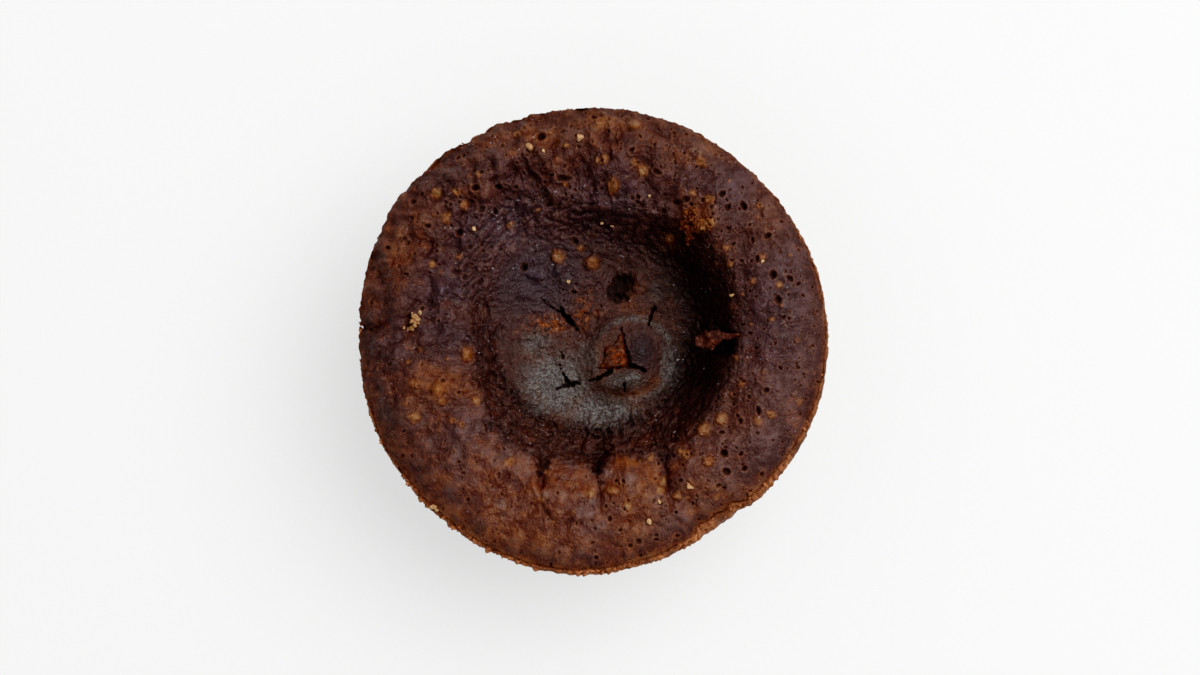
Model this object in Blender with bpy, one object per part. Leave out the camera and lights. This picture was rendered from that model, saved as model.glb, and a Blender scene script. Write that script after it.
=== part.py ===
"""Chocolate lava cake: one individual baked cake whose top has sunk and cracked.

The scene is in metres with +Z up. The origin is on the table, under the middle of the cake.
The sizes below are in millimetres, and MM turns them into metres where the meshes are made.
Looking down, +X is to the right and +Y is away. Bearings are degrees counter-clockwise from +X.
"""
import math

import bmesh
import bpy
import numpy as np

MM = 0.001

# Whole cake
MEAN_RADIUS = 37.9
CREST_HEIGHT = 31.4
OUT_OF_ROUND = ((1, 0.44, 166), (2, 0.20, 2), (3, 0.39, 7), (4, 0.17, 70), (5, 0.13, 62), (6, 0.13, 24))

# Torn chip in the edge of the rim
CHIP_BEARING = -55.0
CHIP_HALF_WIDTH = 8.5
CHIP_DEPTH = 1.1
CHIP_REACH_DOWN = 6.0
CHIP_RAGGEDNESS = 0.18

# Sunken centre: one value for each eighth of the way round, from +X
CRATER_CENTRE = (0.4, 0.9)
CENTRE_DEPTH = 10.5
WALL_FOOT = (14.6, 15.6, 15.6, 19.5, 17.2, 16.2, 15.6, 15.0)
FOOT_DEPTH = (12.0, 11.0, 8.3, 5.6, 6.0, 7.4, 9.2, 11.4)
WALL_EDGE = (23.6, 24.4, 21.9, 26.5, 20.6, 22.8, 23.3, 23.4)
EDGE_DEPTH = 1.5
EDGE_ROUNDING = 5.0

# Rounded shoulder between the rim and the outer edge
SHOULDER_WIDTH = 9.0
SHOULDER_DROP = 4.3
SHOULDER_POWER = 2.6

# Side crust, which stands out below the top edge: one value for each eighth of the way round
LIP_OVERHANG = (0.65, 0.30, 0.15, 0.10, 0.10, 0.90, 1.00, 1.40)
# Rings down the side: share of the top edge's height, share of the overhang, distance in from the outline
SIDE_RINGS = (
    (0.985, 0.05, 0.00),
    (0.955, 0.75, 0.00),
    (0.900, 1.00, 0.00),
    (0.780, 0.80, 0.05),
    (0.540, 0.50, 0.80),
    (0.290, 0.30, 1.60),
    (0.087, 0.20, 2.30),
    (0.022, 0.10, 3.00),
    (0.000, 0.00, 4.20),
)

# Uneven rise of the rim
LUMP_SIZE = 11.0
LUMP_HEIGHT = 0.50
LUMP_SHARE_AT_EDGE = 0.4
LUMP_WAVES = 9
LUMP_SEED = 4

# Mound in the sunken centre, where the crust blistered and split
MOUND_CENTRE = (4.6, -2.8)
MOUND_RADIUS = 6.2
MOUND_HEIGHT = 1.5
# Bumps: x, y, half length, half width, bearing of the length, height
BUMPS = (
    (7.9, -1.9, 2.4, 2.2, 0, 0.9),
    (5.3, -6.1, 3.2, 1.5, 15, 0.8),
    (-3.2, -26.0, 4.2, 3.0, 95, 0.6),
    (6.6, -25.4, 4.6, 3.6, 85, 0.7),
    (17.0, -22.5, 3.6, 3.4, 0, 0.5),
    (-13.5, -23.0, 3.6, 3.2, 60, 0.4),
    (16.8, 19.4, 2.3, 2.1, 0, 0.8),
    (-17.8, -5.0, 3.4, 2.4, 90, 0.5),
    (0.6, 33.8, 2.2, 1.8, 0, 0.5),
    (6.2, 33.3, 2.4, 2.0, 0, 0.5),
)
# Furrows: start x, start y, end x, end y, half width, depth
FURROWS = (
    (-7.6, -20.5, -6.1, -29.2, 1.0, 1.2),
    (1.0, -20.6, 1.3, -26.5, 1.0, 1.3),
    (11.6, -19.5, 12.3, -28.6, 1.0, 1.2),
    (-9.8, 29.4, -7.0, 21.0, 1.0, 0.8),
    (-12.4, 28.6, -10.0, 20.5, 0.9, 0.6),
    (-3.0, 31.0, -0.4, 25.5, 0.9, 0.7),
    (-38.0, 2.0, -29.5, 3.4, 0.9, 0.8),
    (-19.8, 17.0, -18.6, -13.0, 1.3, 0.9),
    (19.6, -1.4, 22.4, -0.6, 1.5, 2.2),
)

# Open cracks: half width at the surface and depth at each point along them
GASH = ((-8.2, 6.6, 0.10, 0.8), (-5.4, 4.7, 0.28, 1.6), (-4.2, 3.4, 0.45, 2.2), (-2.6, 2.0, 0.18, 1.0))
STAR_ARMS = (
    ((-4.1, -6.9, 0.40, 1.6), (-5.0, -4.6, 0.26, 1.2), (-5.4, -2.6, 0.08, 0.6)),
    ((-4.1, -6.9, 0.40, 1.6), (-6.2, -7.4, 0.08, 0.6)),
    ((-4.1, -6.9, 0.40, 1.6), (-2.5, -6.8, 0.08, 0.6)),
)
SPLIT_ARMS = (
    ((1.6, -4.5, 0.34, 1.8), (-0.4, -5.8, 0.24, 1.3), (-2.0, -6.5, 0.08, 0.6)),
    ((5.5, -4.1, 0.36, 1.8), (7.6, -4.5, 0.26, 1.4), (9.3, -5.2, 0.08, 0.7)),
)
SHORT_CRACK = ((10.0, 5.8, 0.12, 0.7), (9.5, 4.4, 0.30, 1.3), (9.0, 2.9, 0.10, 0.7))
EDGE_NOTCH = ((-40.5, 1.75, 0.75, 7.0), (-37.0, 1.85, 0.36, 5.0), (-34.8, 1.95, 0.08, 0.8))
CUTTER_LIFT = 2.5

# Molten centre, which shows through the corner of the split
PIT_CORNERS = ((4.6, 1.2), (0.7, -4.7), (5.8, -4.3))
FILLING_GAP = 0.3
FILLING_BELOW_CRUST = 0.8
FILLING_THICKNESS = 3.6
FILLING_BLOB = 0.18
FILLING_BLOB_SIZE = 1.6
FILLING_CROWN = 0.35

# Torn shred of crust that leans out from the wall over a hole
SHRED_ROOT = (25.4, 0.6)
SHRED_TIP = (16.6, -0.1)
SHRED_ROOT_HEIGHT = 28.9
SHRED_TIP_HEIGHT = 26.6
SHRED_THICKNESS = 0.9
SHRED_HALF_WIDTHS = (0.9, 1.0, 0.7, 1.5, 1.1, 1.7, 1.3, 0.6)

# Fineness of the meshes
NET_POINTS = 53
FILLING_RINGS = 4
FILLING_SIDE_POINTS = 7
SMOOTH_ANGLE = 50.0


def round_the_ring(values, bearing):
    """A smooth closed curve through values that are evenly spaced round the circle."""
    values = np.asarray(values, dtype=float)
    count = len(values)
    place = np.degrees(bearing) / 360.0 * count
    first = np.floor(place).astype(int)
    t = place - first
    before, here, after, beyond = (values[(first + step) % count] for step in (-1, 0, 1, 2))
    bend = 2 * before - 5 * here + 4 * after - beyond
    twist = 3 * here - 3 * after + beyond - before
    return here + 0.5 * t * (after - before + t * (bend + t * twist))


def smooth_profile(distance, places, heights):
    """Cubic curve through the points (places, heights) that never overshoots them."""
    runs = [after - before for before, after in zip(places, places[1:])]
    grades = [(after - before) / run for before, after, run in zip(heights, heights[1:], runs)]
    slopes = [0.0 * grades[0]]
    for before, after in zip(grades, grades[1:]):
        same_way = before * after > 0
        total = np.where(same_way, before + after, 1.0)
        slopes.append(np.where(same_way, 2 * before * after / total, 0.0))
    slopes.append(0.0 * grades[0])
    result = heights[0] + 0.0 * distance
    for k, run in enumerate(runs):
        t = np.clip((distance - places[k]) / run, 0.0, 1.0)
        rise = t * t * (3 - 2 * t)
        leave = t * (1 - t) ** 2 * run * slopes[k]
        arrive = t * t * (t - 1) * run * slopes[k + 1]
        piece = heights[k] + rise * (heights[k + 1] - heights[k]) + leave + arrive
        result = np.where(distance >= places[k], piece, result)
    return result


def lumps(x, y, size, waves, seed):
    """Uneven ground from a few plane waves in seeded directions, between about -1 and 1."""
    draw = np.random.default_rng(seed)
    total = np.zeros_like(x)
    for _ in range(waves):
        heading, phase = draw.uniform(0, 2 * math.pi, 2)
        length = size * draw.uniform(0.7, 1.5)
        total += np.cos(2 * math.pi * (x * math.cos(heading) + y * math.sin(heading)) / length + phase)
    return total / math.sqrt(waves)


def outline_radius(bearing):
    """Radius of the cake at its widest: a circle with a few slow waves."""
    radius = MEAN_RADIUS + 0.0 * bearing
    for waves, height, peak in OUT_OF_ROUND:
        radius = radius + height * np.cos(waves * (bearing - math.radians(peak)))
    return radius


def outline_middle():
    """Middle of the outline's bounding box, which the whole cake is moved by."""
    bearing = np.radians(np.arange(0.0, 360.0, 0.5))
    radius = outline_radius(bearing)
    x, y = radius * np.cos(bearing), radius * np.sin(bearing)
    return (x.max() + x.min()) / 2, (y.max() + y.min()) / 2


def chip(bearing, height):
    """Depth of the torn chip: deepest at the top edge, running out down the side."""
    off = (np.degrees(bearing) - CHIP_BEARING + 180.0) % 360.0 - 180.0
    across = np.clip(1.0 - (off / CHIP_HALF_WIDTH) ** 4, 0.0, 1.0)
    ragged = 1.0 + CHIP_RAGGEDNESS * np.cos(np.radians(off * 72.0))
    below_edge = CREST_HEIGHT - SHOULDER_DROP - height
    down = np.clip(1.0 - below_edge / CHIP_REACH_DOWN, 0.0, 1.0)
    return CHIP_DEPTH * across * ragged * down


def top_edge_radius(bearing):
    """Radius of the edge between the top and the side crust."""
    return outline_radius(bearing) - round_the_ring(LIP_OVERHANG, bearing) - chip(bearing, CREST_HEIGHT)


def bump(x, y, centre_x, centre_y, half_length, half_width, turn, height):
    """An oval swelling with a rounded top, that runs out smoothly."""
    along_x, along_y = math.cos(math.radians(turn)), math.sin(math.radians(turn))
    along = ((x - centre_x) * along_x + (y - centre_y) * along_y) / half_length
    across = ((y - centre_y) * along_x - (x - centre_x) * along_y) / half_width
    return height * np.exp(-(along ** 2 + across ** 2))


def furrow(x, y, start_x, start_y, end_x, end_y, half_width, depth):
    """A groove with a rounded section along a straight line, that fades at both ends."""
    run_x, run_y = end_x - start_x, end_y - start_y
    length = math.hypot(run_x, run_y)
    t = np.clip(((x - start_x) * run_x + (y - start_y) * run_y) / length ** 2, 0.0, 1.0)
    off = np.hypot(x - start_x - t * run_x, y - start_y - t * run_y)
    return -depth * np.exp(-(off / half_width) ** 2)


def top_height(x, y):
    """Height of the top crust above the table, before any crack is cut."""
    q = np.hypot(x - CRATER_CENTRE[0], y - CRATER_CENTRE[1])
    bearing = np.arctan2(y - CRATER_CENTRE[1], x - CRATER_CENTRE[0])
    foot = round_the_ring(WALL_FOOT, bearing)
    edge = round_the_ring(WALL_EDGE, bearing)
    foot_depth = round_the_ring(FOOT_DEPTH, bearing)
    places = [0.0 * q, foot, edge, edge + EDGE_ROUNDING]
    depths = [CENTRE_DEPTH + 0.0 * q, foot_depth, EDGE_DEPTH + 0.0 * q, 0.0 * q]
    height = CREST_HEIGHT - smooth_profile(q, places, depths)

    inward = np.clip(top_edge_radius(np.arctan2(y, x)) - np.hypot(x, y), 0.0, SHOULDER_WIDTH) / SHOULDER_WIDTH
    height = height - SHOULDER_DROP * (1.0 - inward) ** SHOULDER_POWER

    from_mound = np.hypot(x - MOUND_CENTRE[0], y - MOUND_CENTRE[1]) / MOUND_RADIUS
    height = height + MOUND_HEIGHT * np.exp(-(from_mound ** 4))
    lump_share = (LUMP_SHARE_AT_EDGE + (1.0 - LUMP_SHARE_AT_EDGE) * inward) * np.clip(q / edge, 0.0, 1.0)
    height = height + LUMP_HEIGHT * lump_share * lumps(x, y, LUMP_SIZE, LUMP_WAVES, LUMP_SEED)
    for sizes in BUMPS:
        height = height + bump(x, y, *sizes)
    for line in FURROWS:
        height = height + furrow(x, y, *line)
    return height


def crust_height_at(x, y):
    """Height of the top crust over one point."""
    return float(top_height(np.array([float(x)]), np.array([float(y)]))[0])


def disc_net(count):
    """A square net of points pulled round into a unit disc: radius and bearing of each point."""
    line = np.linspace(-1.0, 1.0, count)
    u, v = (side.ravel() for side in np.meshgrid(line, line))
    wide = np.abs(u) > np.abs(v)
    safe_u = np.where(wide, u, 1.0)
    safe_v = np.where(wide | (v == 0), 1.0, v)
    radius = np.where(wide, u, v)
    bearing = np.where(wide, math.pi / 4 * v / safe_u, math.pi / 2 - math.pi / 4 * u / safe_v)
    return radius, bearing


def net_border(count):
    """Indices of the net's outer points, in order, counter-clockwise."""
    last = count - 1
    bottom = [column for column in range(last)]
    right = [row * count + last for row in range(last)]
    top = [last * count + column for column in range(last, 0, -1)]
    left = [row * count for row in range(last, 0, -1)]
    return bottom + right + top + left


def simple_material(name, color, roughness):
    """Plain opaque surface of one colour."""
    material = bpy.data.materials.new(name)
    material.use_nodes = True
    shader = material.node_tree.nodes["Principled BSDF"]
    shader.inputs["Base Color"].default_value = (*color, 1.0)
    shader.inputs["Roughness"].default_value = roughness
    shader.inputs["Metallic"].default_value = 0.0
    return material


def add_object(name, points, faces, material):
    """A named object from points in millimetres, with its faces turned outwards."""
    mesh = bpy.data.meshes.new(name)
    mesh.from_pydata([tuple(MM * value for value in point) for point in points], [], faces)
    work = bmesh.new()
    work.from_mesh(mesh)
    bmesh.ops.recalc_face_normals(work, faces=work.faces)
    work.to_mesh(mesh)
    work.free()
    mesh.materials.append(material)
    mesh.shade_smooth()
    mesh.set_sharp_from_angle(angle=math.radians(SMOOTH_ANGLE))
    made = bpy.data.objects.new(name, mesh)
    bpy.context.scene.collection.objects.link(made)
    return made


def closed_loft(rings):
    """Points and faces of a solid lofted through rings of equal length, with flat ends."""
    count = len(rings[0])
    points = [point for ring in rings for point in ring]
    faces = [tuple(range(count)), tuple(reversed(range((len(rings) - 1) * count, len(rings) * count)))]
    for level in range(len(rings) - 1):
        for k in range(count):
            after = (k + 1) % count
            low, high = level * count, (level + 1) * count
            faces.append((low + k, high + k, high + after, low + after))
    return points, faces


def cake_body(material, middle):
    """The cake as one solid: sunken top, shoulder, side crust and flat base."""
    radius, bearing = disc_net(NET_POINTS)
    x = radius * np.cos(bearing)
    y = radius * np.sin(bearing)
    reach = top_edge_radius(np.arctan2(y, x))
    x, y = x * reach, y * reach
    points = list(zip(x - middle[0], y - middle[1], top_height(x, y)))
    faces = []
    for row in range(NET_POINTS - 1):
        for column in range(NET_POINTS - 1):
            corner = row * NET_POINTS + column
            faces.append((corner, corner + 1, corner + NET_POINTS + 1, corner + NET_POINTS))

    ring = net_border(NET_POINTS)
    around = np.arctan2(y[ring], x[ring])
    edge_height = top_height(x[ring], y[ring])
    overhang = round_the_ring(LIP_OVERHANG, around)
    widest = outline_radius(around)
    for height_share, lip_share, inward in SIDE_RINGS:
        height = height_share * edge_height
        out = widest - overhang * (1.0 - lip_share) - inward - chip(around, height)
        lower = list(range(len(points), len(points) + len(ring)))
        points += list(zip(out * np.cos(around) - middle[0], out * np.sin(around) - middle[1], height))
        for k, corner in enumerate(ring):
            after = (k + 1) % len(ring)
            faces.append((corner, lower[k], lower[after], ring[after]))
        ring = lower
    base_middle = len(points)
    points.append((0.0, 0.0, 0.0))
    for k, corner in enumerate(ring):
        faces.append((corner, base_middle, ring[(k + 1) % len(ring)]))
    return add_object("cake_body", points, faces, material)


def crack_cutter(name, course, material, middle):
    """A long wedge, point down, that opens a crack along a course of points."""
    rings = []
    for k, (x, y, half_width, depth) in enumerate(course):
        before, after = course[max(k - 1, 0)], course[min(k + 1, len(course) - 1)]
        run_x, run_y = after[0] - before[0], after[1] - before[1]
        length = math.hypot(run_x, run_y)
        side_x, side_y = -run_y / length, run_x / length
        surface = crust_height_at(x, y)
        wide = half_width * (depth + CUTTER_LIFT) / depth
        x, y = x - middle[0], y - middle[1]
        rings.append([
            (x + wide * side_x, y + wide * side_y, surface + CUTTER_LIFT),
            (x, y, surface - depth),
            (x - wide * side_x, y - wide * side_y, surface + CUTTER_LIFT),
        ])
    cutter = add_object(name, *closed_loft(rings), material)
    cutter.hide_render = True
    cutter.display_type = "WIRE"
    return cutter


def inset(corners, gap):
    """The corners of a triangle whose sides lie a gap inside the given one's."""
    moved = []
    for k, (x, y) in enumerate(corners):
        (ax, ay), (bx, by) = corners[k - 1], corners[(k + 1) % len(corners)]
        to_a, to_b = math.hypot(ax - x, ay - y), math.hypot(bx - x, by - y)
        way_x, way_y = (ax - x) / to_a + (bx - x) / to_b, (ay - y) / to_a + (by - y) / to_b
        way = math.hypot(way_x, way_y)
        half_angle = math.acos(way / 2)
        step = gap / math.sin(half_angle) / way
        moved.append((x + way_x * step, y + way_y * step))
    return moved


def pit_levels():
    """Heights of the pit's floor and of its open top."""
    surface = [crust_height_at(x, y) for x, y in PIT_CORNERS]
    floor = min(surface) - FILLING_BELOW_CRUST - FILLING_THICKNESS
    return floor, max(surface) + CUTTER_LIFT


def pit_cutter(material, middle):
    """Three-sided well under the split, which the molten centre fills."""
    levels = pit_levels()
    rings = [[(x - middle[0], y - middle[1], height) for x, y in PIT_CORNERS] for height in levels]
    cutter = add_object("pit_cutter", *closed_loft(rings), material)
    cutter.hide_render = True
    cutter.display_type = "WIRE"
    return cutter


def molten_centre(material, middle):
    """The filling that shows in the split: a three-sided plug with a lumpy wet top."""
    corners = np.array(inset(PIT_CORNERS, FILLING_GAP))
    steps = np.arange(FILLING_SIDE_POINTS) / FILLING_SIDE_POINTS
    sides = [corners[k] + np.outer(steps, corners[(k + 1) % 3] - corners[k]) for k in range(3)]
    rim = np.concatenate(sides)
    heart = corners.mean(axis=0)
    floor = pit_levels()[0] + FILLING_GAP
    rings = [[(x - middle[0], y - middle[1], floor) for x, y in rim]]
    for ring in range(FILLING_RINGS):
        share = 1.0 - ring / FILLING_RINGS
        flat = heart + share * (rim - heart)
        lift = FILLING_BLOB * lumps(flat[:, 0], flat[:, 1], FILLING_BLOB_SIZE, LUMP_WAVES, LUMP_SEED)
        crown = FILLING_CROWN * (1.0 - share ** 2)
        height = top_height(flat[:, 0], flat[:, 1]) - FILLING_BELOW_CRUST + lift + crown
        rings.append(list(zip(flat[:, 0] - middle[0], flat[:, 1] - middle[1], height)))
    return add_object("molten_centre", *closed_loft(rings), material)


def crust_shred(material, middle):
    """A ragged flake of torn crust, rooted in the wall and curling out over the hole."""
    run_x, run_y = SHRED_TIP[0] - SHRED_ROOT[0], SHRED_TIP[1] - SHRED_ROOT[1]
    length = math.hypot(run_x, run_y)
    side_x, side_y = -run_y / length, run_x / length
    rings = []
    for k, half_width in enumerate(SHRED_HALF_WIDTHS):
        share = k / (len(SHRED_HALF_WIDTHS) - 1)
        x = SHRED_ROOT[0] + share * run_x - middle[0]
        y = SHRED_ROOT[1] + share * run_y - middle[1]
        height = SHRED_ROOT_HEIGHT + share * (SHRED_TIP_HEIGHT - SHRED_ROOT_HEIGHT)
        height += 0.5 * math.sin(math.pi * share)
        ring = []
        for turn in range(6):
            angle = math.radians(60 * turn)
            across = half_width * math.cos(angle)
            lift = 0.5 * SHRED_THICKNESS * math.sin(angle)
            ring.append((x + across * side_x, y + across * side_y, height + lift))
        rings.append(ring)
    shred = add_object("shred_cutter", *closed_loft(rings), material)
    shred.hide_render = True
    shred.display_type = "WIRE"
    return shred


def cut_cracks(body, cutters):
    """Opens the cracks and the well in the cake, all in one cut."""
    group = bpy.data.collections.new("cracks")
    bpy.context.scene.collection.children.link(group)
    for cutter in cutters:
        bpy.context.scene.collection.objects.unlink(cutter)
        group.objects.link(cutter)
    cut = body.modifiers.new("cracks", "BOOLEAN")
    cut.operation = "DIFFERENCE"
    cut.solver = "EXACT"
    cut.operand_type = "COLLECTION"
    cut.collection = group


def fuse(body, piece):
    """Joins a flake of crust to the cake."""
    join = body.modifiers.new("shred", "BOOLEAN")
    join.operation = "UNION"
    join.solver = "EXACT"
    join.object = piece


def main():
    for old in list(bpy.data.objects):
        bpy.data.objects.remove(old, do_unlink=True)
    crust = simple_material("chocolate_crust", (0.085, 0.035, 0.020), 0.55)
    filling = simple_material("molten_chocolate", (0.110, 0.022, 0.006), 0.12)
    middle = outline_middle()

    body = cake_body(crust, middle)
    cutters = [crack_cutter("gash_cutter", GASH, crust, middle)]
    for number, arm in enumerate(STAR_ARMS):
        cutters.append(crack_cutter(f"star_cutter_{number}", arm, crust, middle))
    for number, arm in enumerate(SPLIT_ARMS):
        cutters.append(crack_cutter(f"split_cutter_{number}", arm, crust, middle))
    cutters.append(crack_cutter("short_cutter", SHORT_CRACK, crust, middle))
    cutters.append(crack_cutter("notch_cutter", EDGE_NOTCH, crust, middle))
    cutters.append(pit_cutter(crust, middle))
    cut_cracks(body, cutters)
    fuse(body, crust_shred(crust, middle))
    molten_centre(filling, middle)


main()
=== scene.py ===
import functools
import math

import bpy
import numpy as np
from mathutils import Matrix, Vector


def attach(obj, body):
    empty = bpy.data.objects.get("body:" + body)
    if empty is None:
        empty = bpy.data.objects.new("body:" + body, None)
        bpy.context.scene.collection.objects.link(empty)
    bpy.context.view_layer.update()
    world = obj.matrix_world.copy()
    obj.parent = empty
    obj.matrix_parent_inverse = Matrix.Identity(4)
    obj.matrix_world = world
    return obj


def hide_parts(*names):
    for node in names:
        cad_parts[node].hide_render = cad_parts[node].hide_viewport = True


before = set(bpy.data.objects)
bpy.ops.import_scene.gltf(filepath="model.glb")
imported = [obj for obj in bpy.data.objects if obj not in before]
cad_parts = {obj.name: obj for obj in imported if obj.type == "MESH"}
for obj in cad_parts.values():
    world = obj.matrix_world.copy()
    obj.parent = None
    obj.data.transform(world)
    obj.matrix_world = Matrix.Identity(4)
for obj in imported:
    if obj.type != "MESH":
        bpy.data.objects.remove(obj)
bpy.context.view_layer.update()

# View from above
# The cake is seen from nearly straight above, a little from the lower right, so that a thin line of the
# side crust shows there. The frame is 1200 by 675 pixels, and one of them is 0.162 mm at the rim.
IMAGE_WIDTH = 1200
PIXEL = 0.162e-3
LENS = 0.070
SENSOR = 0.036
NEAREST_SEEN = 0.01
AIM = Vector((1.05e-3, 0.49e-3, 0.026))
TILT = 3.0
TILT_BEARING = -65.0


def way_to(from_vertical, bearing):
    """The unit vector that leans from straight up towards a bearing, both in degrees."""
    lean, turn = math.radians(from_vertical), math.radians(bearing)
    return Vector((math.sin(lean) * math.cos(turn), math.sin(lean) * math.sin(turn), math.cos(lean)))


def add_object(name, data):
    """A new object in the scene."""
    made = bpy.data.objects.new(name, data)
    bpy.context.scene.collection.objects.link(made)
    return made


camera_data = bpy.data.cameras.new("camera")
camera_data.lens = LENS * 1000
camera_data.sensor_width = SENSOR * 1000
camera_data.clip_start = NEAREST_SEEN
camera = add_object("camera", camera_data)
to_eye = way_to(TILT, TILT_BEARING)
camera_right = Vector((0, 1, 0)).cross(to_eye).normalized()
camera_axes = Matrix((camera_right, to_eye.cross(camera_right), to_eye)).transposed().to_4x4()
camera_place = AIM + to_eye * IMAGE_WIDTH * PIXEL * LENS / SENSOR
camera.matrix_world = Matrix.Translation(camera_place) @ camera_axes
bpy.context.scene.camera = camera

# Crust of the sunken centre
# The skin that baked over the middle of the cake, then sank and split as the molten centre cooled. It is
# thin cocoa crust, grown in one with the crumb under it: smooth and grey-sheened on the floor, wrinkled
# on the walls. Lengths are in millimetres, and bearings run counter-clockwise from +X in degrees.
MM = 0.001
MEAN_RADIUS = 37.9
CREST_HEIGHT = 31.4
# Waves of the outline: how many go round, height, bearing of the first peak
OUT_OF_ROUND = ((1, 0.44, 166), (2, 0.2, 2), (3, 0.39, 7), (4, 0.17, 70), (5, 0.13, 62), (6, 0.13, 24))
CHIP_BEARING = -55.0
CHIP_HALF_WIDTH = 8.5
CHIP_DEPTH = 1.1
CHIP_REACH_DOWN = 6.0
CHIP_RAGGEDNESS = 0.18
CHIP_WAVES = 72.0
CRATER_CENTRE = (0.4, 0.9)
CENTRE_DEPTH = 10.5
# For each eighth of the way round from +X: reach of the floor, its depth there, and reach of the wall
WALL_FOOT = (14.6, 15.6, 15.6, 19.5, 17.2, 16.2, 15.6, 15)
FOOT_DEPTH = (12, 11, 8.3, 5.6, 6, 7.4, 9.2, 11.4)
WALL_EDGE = (23.6, 24.4, 21.9, 26.5, 20.6, 22.8, 23.3, 23.4)
EDGE_DEPTH = 1.5
EDGE_ROUNDING = 5.0
SHOULDER_WIDTH = 9.0
SHOULDER_DROP = 4.3
SHOULDER_POWER = 2.6
# For each eighth: how far the widest part of the side stands out past the top edge
LIP_OVERHANG = (0.65, 0.3, 0.15, 0.1, 0.1, 0.9, 1, 1.4)
LUMP_SIZE = 11.0
LUMP_HEIGHT = 0.5
LUMP_SHARE_AT_EDGE = 0.4
LUMP_WAVES = 9
LUMP_SEED = 4
MOUND_CENTRE = (4.6, -2.8)
MOUND_RADIUS = 6.2
MOUND_HEIGHT = 1.5
# The low ring round the split, and the groove along its lower side
RING_CENTRE = (6.3, -2.9)
RING_REACH = 6.4
RING_WIDTH = 1.1
RING_HEIGHT = 0.36
GROOVE_CENTRE = (5.3, -3.4)
GROOVE_REACH = 5.8
GROOVE_WIDTH = 0.6
GROOVE_DEPTH = 0.3
GROOVE_BEARING = -70.0
# Bumps: x, y, half length, half width, bearing of the length, height
BUMPS = (
    (7.9, -1.9, 2.4, 2.2, 0, 0.9), (5.3, -6.1, 3.2, 1.5, 15, 0.8), (-3.2, -26, 4.2, 3, 95, 0.6),
    (6.6, -25.4, 4.6, 3.6, 85, 0.7), (17, -22.5, 3.6, 3.4, 0, 0.5), (-13.5, -23, 3.6, 3.2, 60, 0.4),
    (16.8, 19.4, 2.3, 2.1, 0, 0.8), (-17.8, -5, 3.4, 2.4, 90, 0.5), (0.6, 33.8, 2.2, 1.8, 0, 0.5),
    (6.2, 33.3, 2.4, 2, 0, 0.5),
)
# Low forms of the skin alone, in the same form: the dome beside the split, its flap, and a burst bubble
SKIN_FORMS = (
    (7.9, -1.7, 2.7, 2, 80, 0.6), (5, -7.4, 3.8, 2, 4, 0.8), (4.3, 8.6, 2.9, 2, 75, -1.1),
    (10.4, 5.8, 0.8, 0.6, 0, 0.4), (-6, -1, 2.6, 2, 0, 0.3), (-11.5, -4.5, 2.4, 3, 20, 0.25),
)
# Lobes of the rim that bulge over the wall, in the same form
LOBES = (
    (-3.6, -22.4, 3.6, 3.2, 0, 0.75), (6.2, -21.2, 4.2, 3.8, 0, 0.85), (15.8, -20.4, 3, 2.8, 0, 0.55),
    (-11.8, -20.6, 3, 2.6, 0, 0.45), (-19.6, -3, 1.8, 2.6, 0, 0.6), (-18.6, -9, 2.2, 2.4, 0, 0.4),
    (-20, 4.5, 2.2, 2.8, 0, 0.3), (-15.5, 15.5, 2.6, 2.2, 45, 0.3), (-4.5, 21, 2.2, 1.8, 0, 0.3),
    (3, 21, 2.4, 2, 0, 0.35), (14, 19.5, 2.4, 2.2, 0, 0.4),
)
LOBE_HEIGHT = 0.55
DOME = (7.8, -1.7, 2.9, 2.2, 80)
BURST_BUBBLE = (4.3, 8.5, 3.0, 2.0, 75)
BUBBLE_EDGE = (0.66, 1.04)
BUBBLE_DEPTH = 0.7
HIGHEST_CRUST = 32.2
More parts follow.
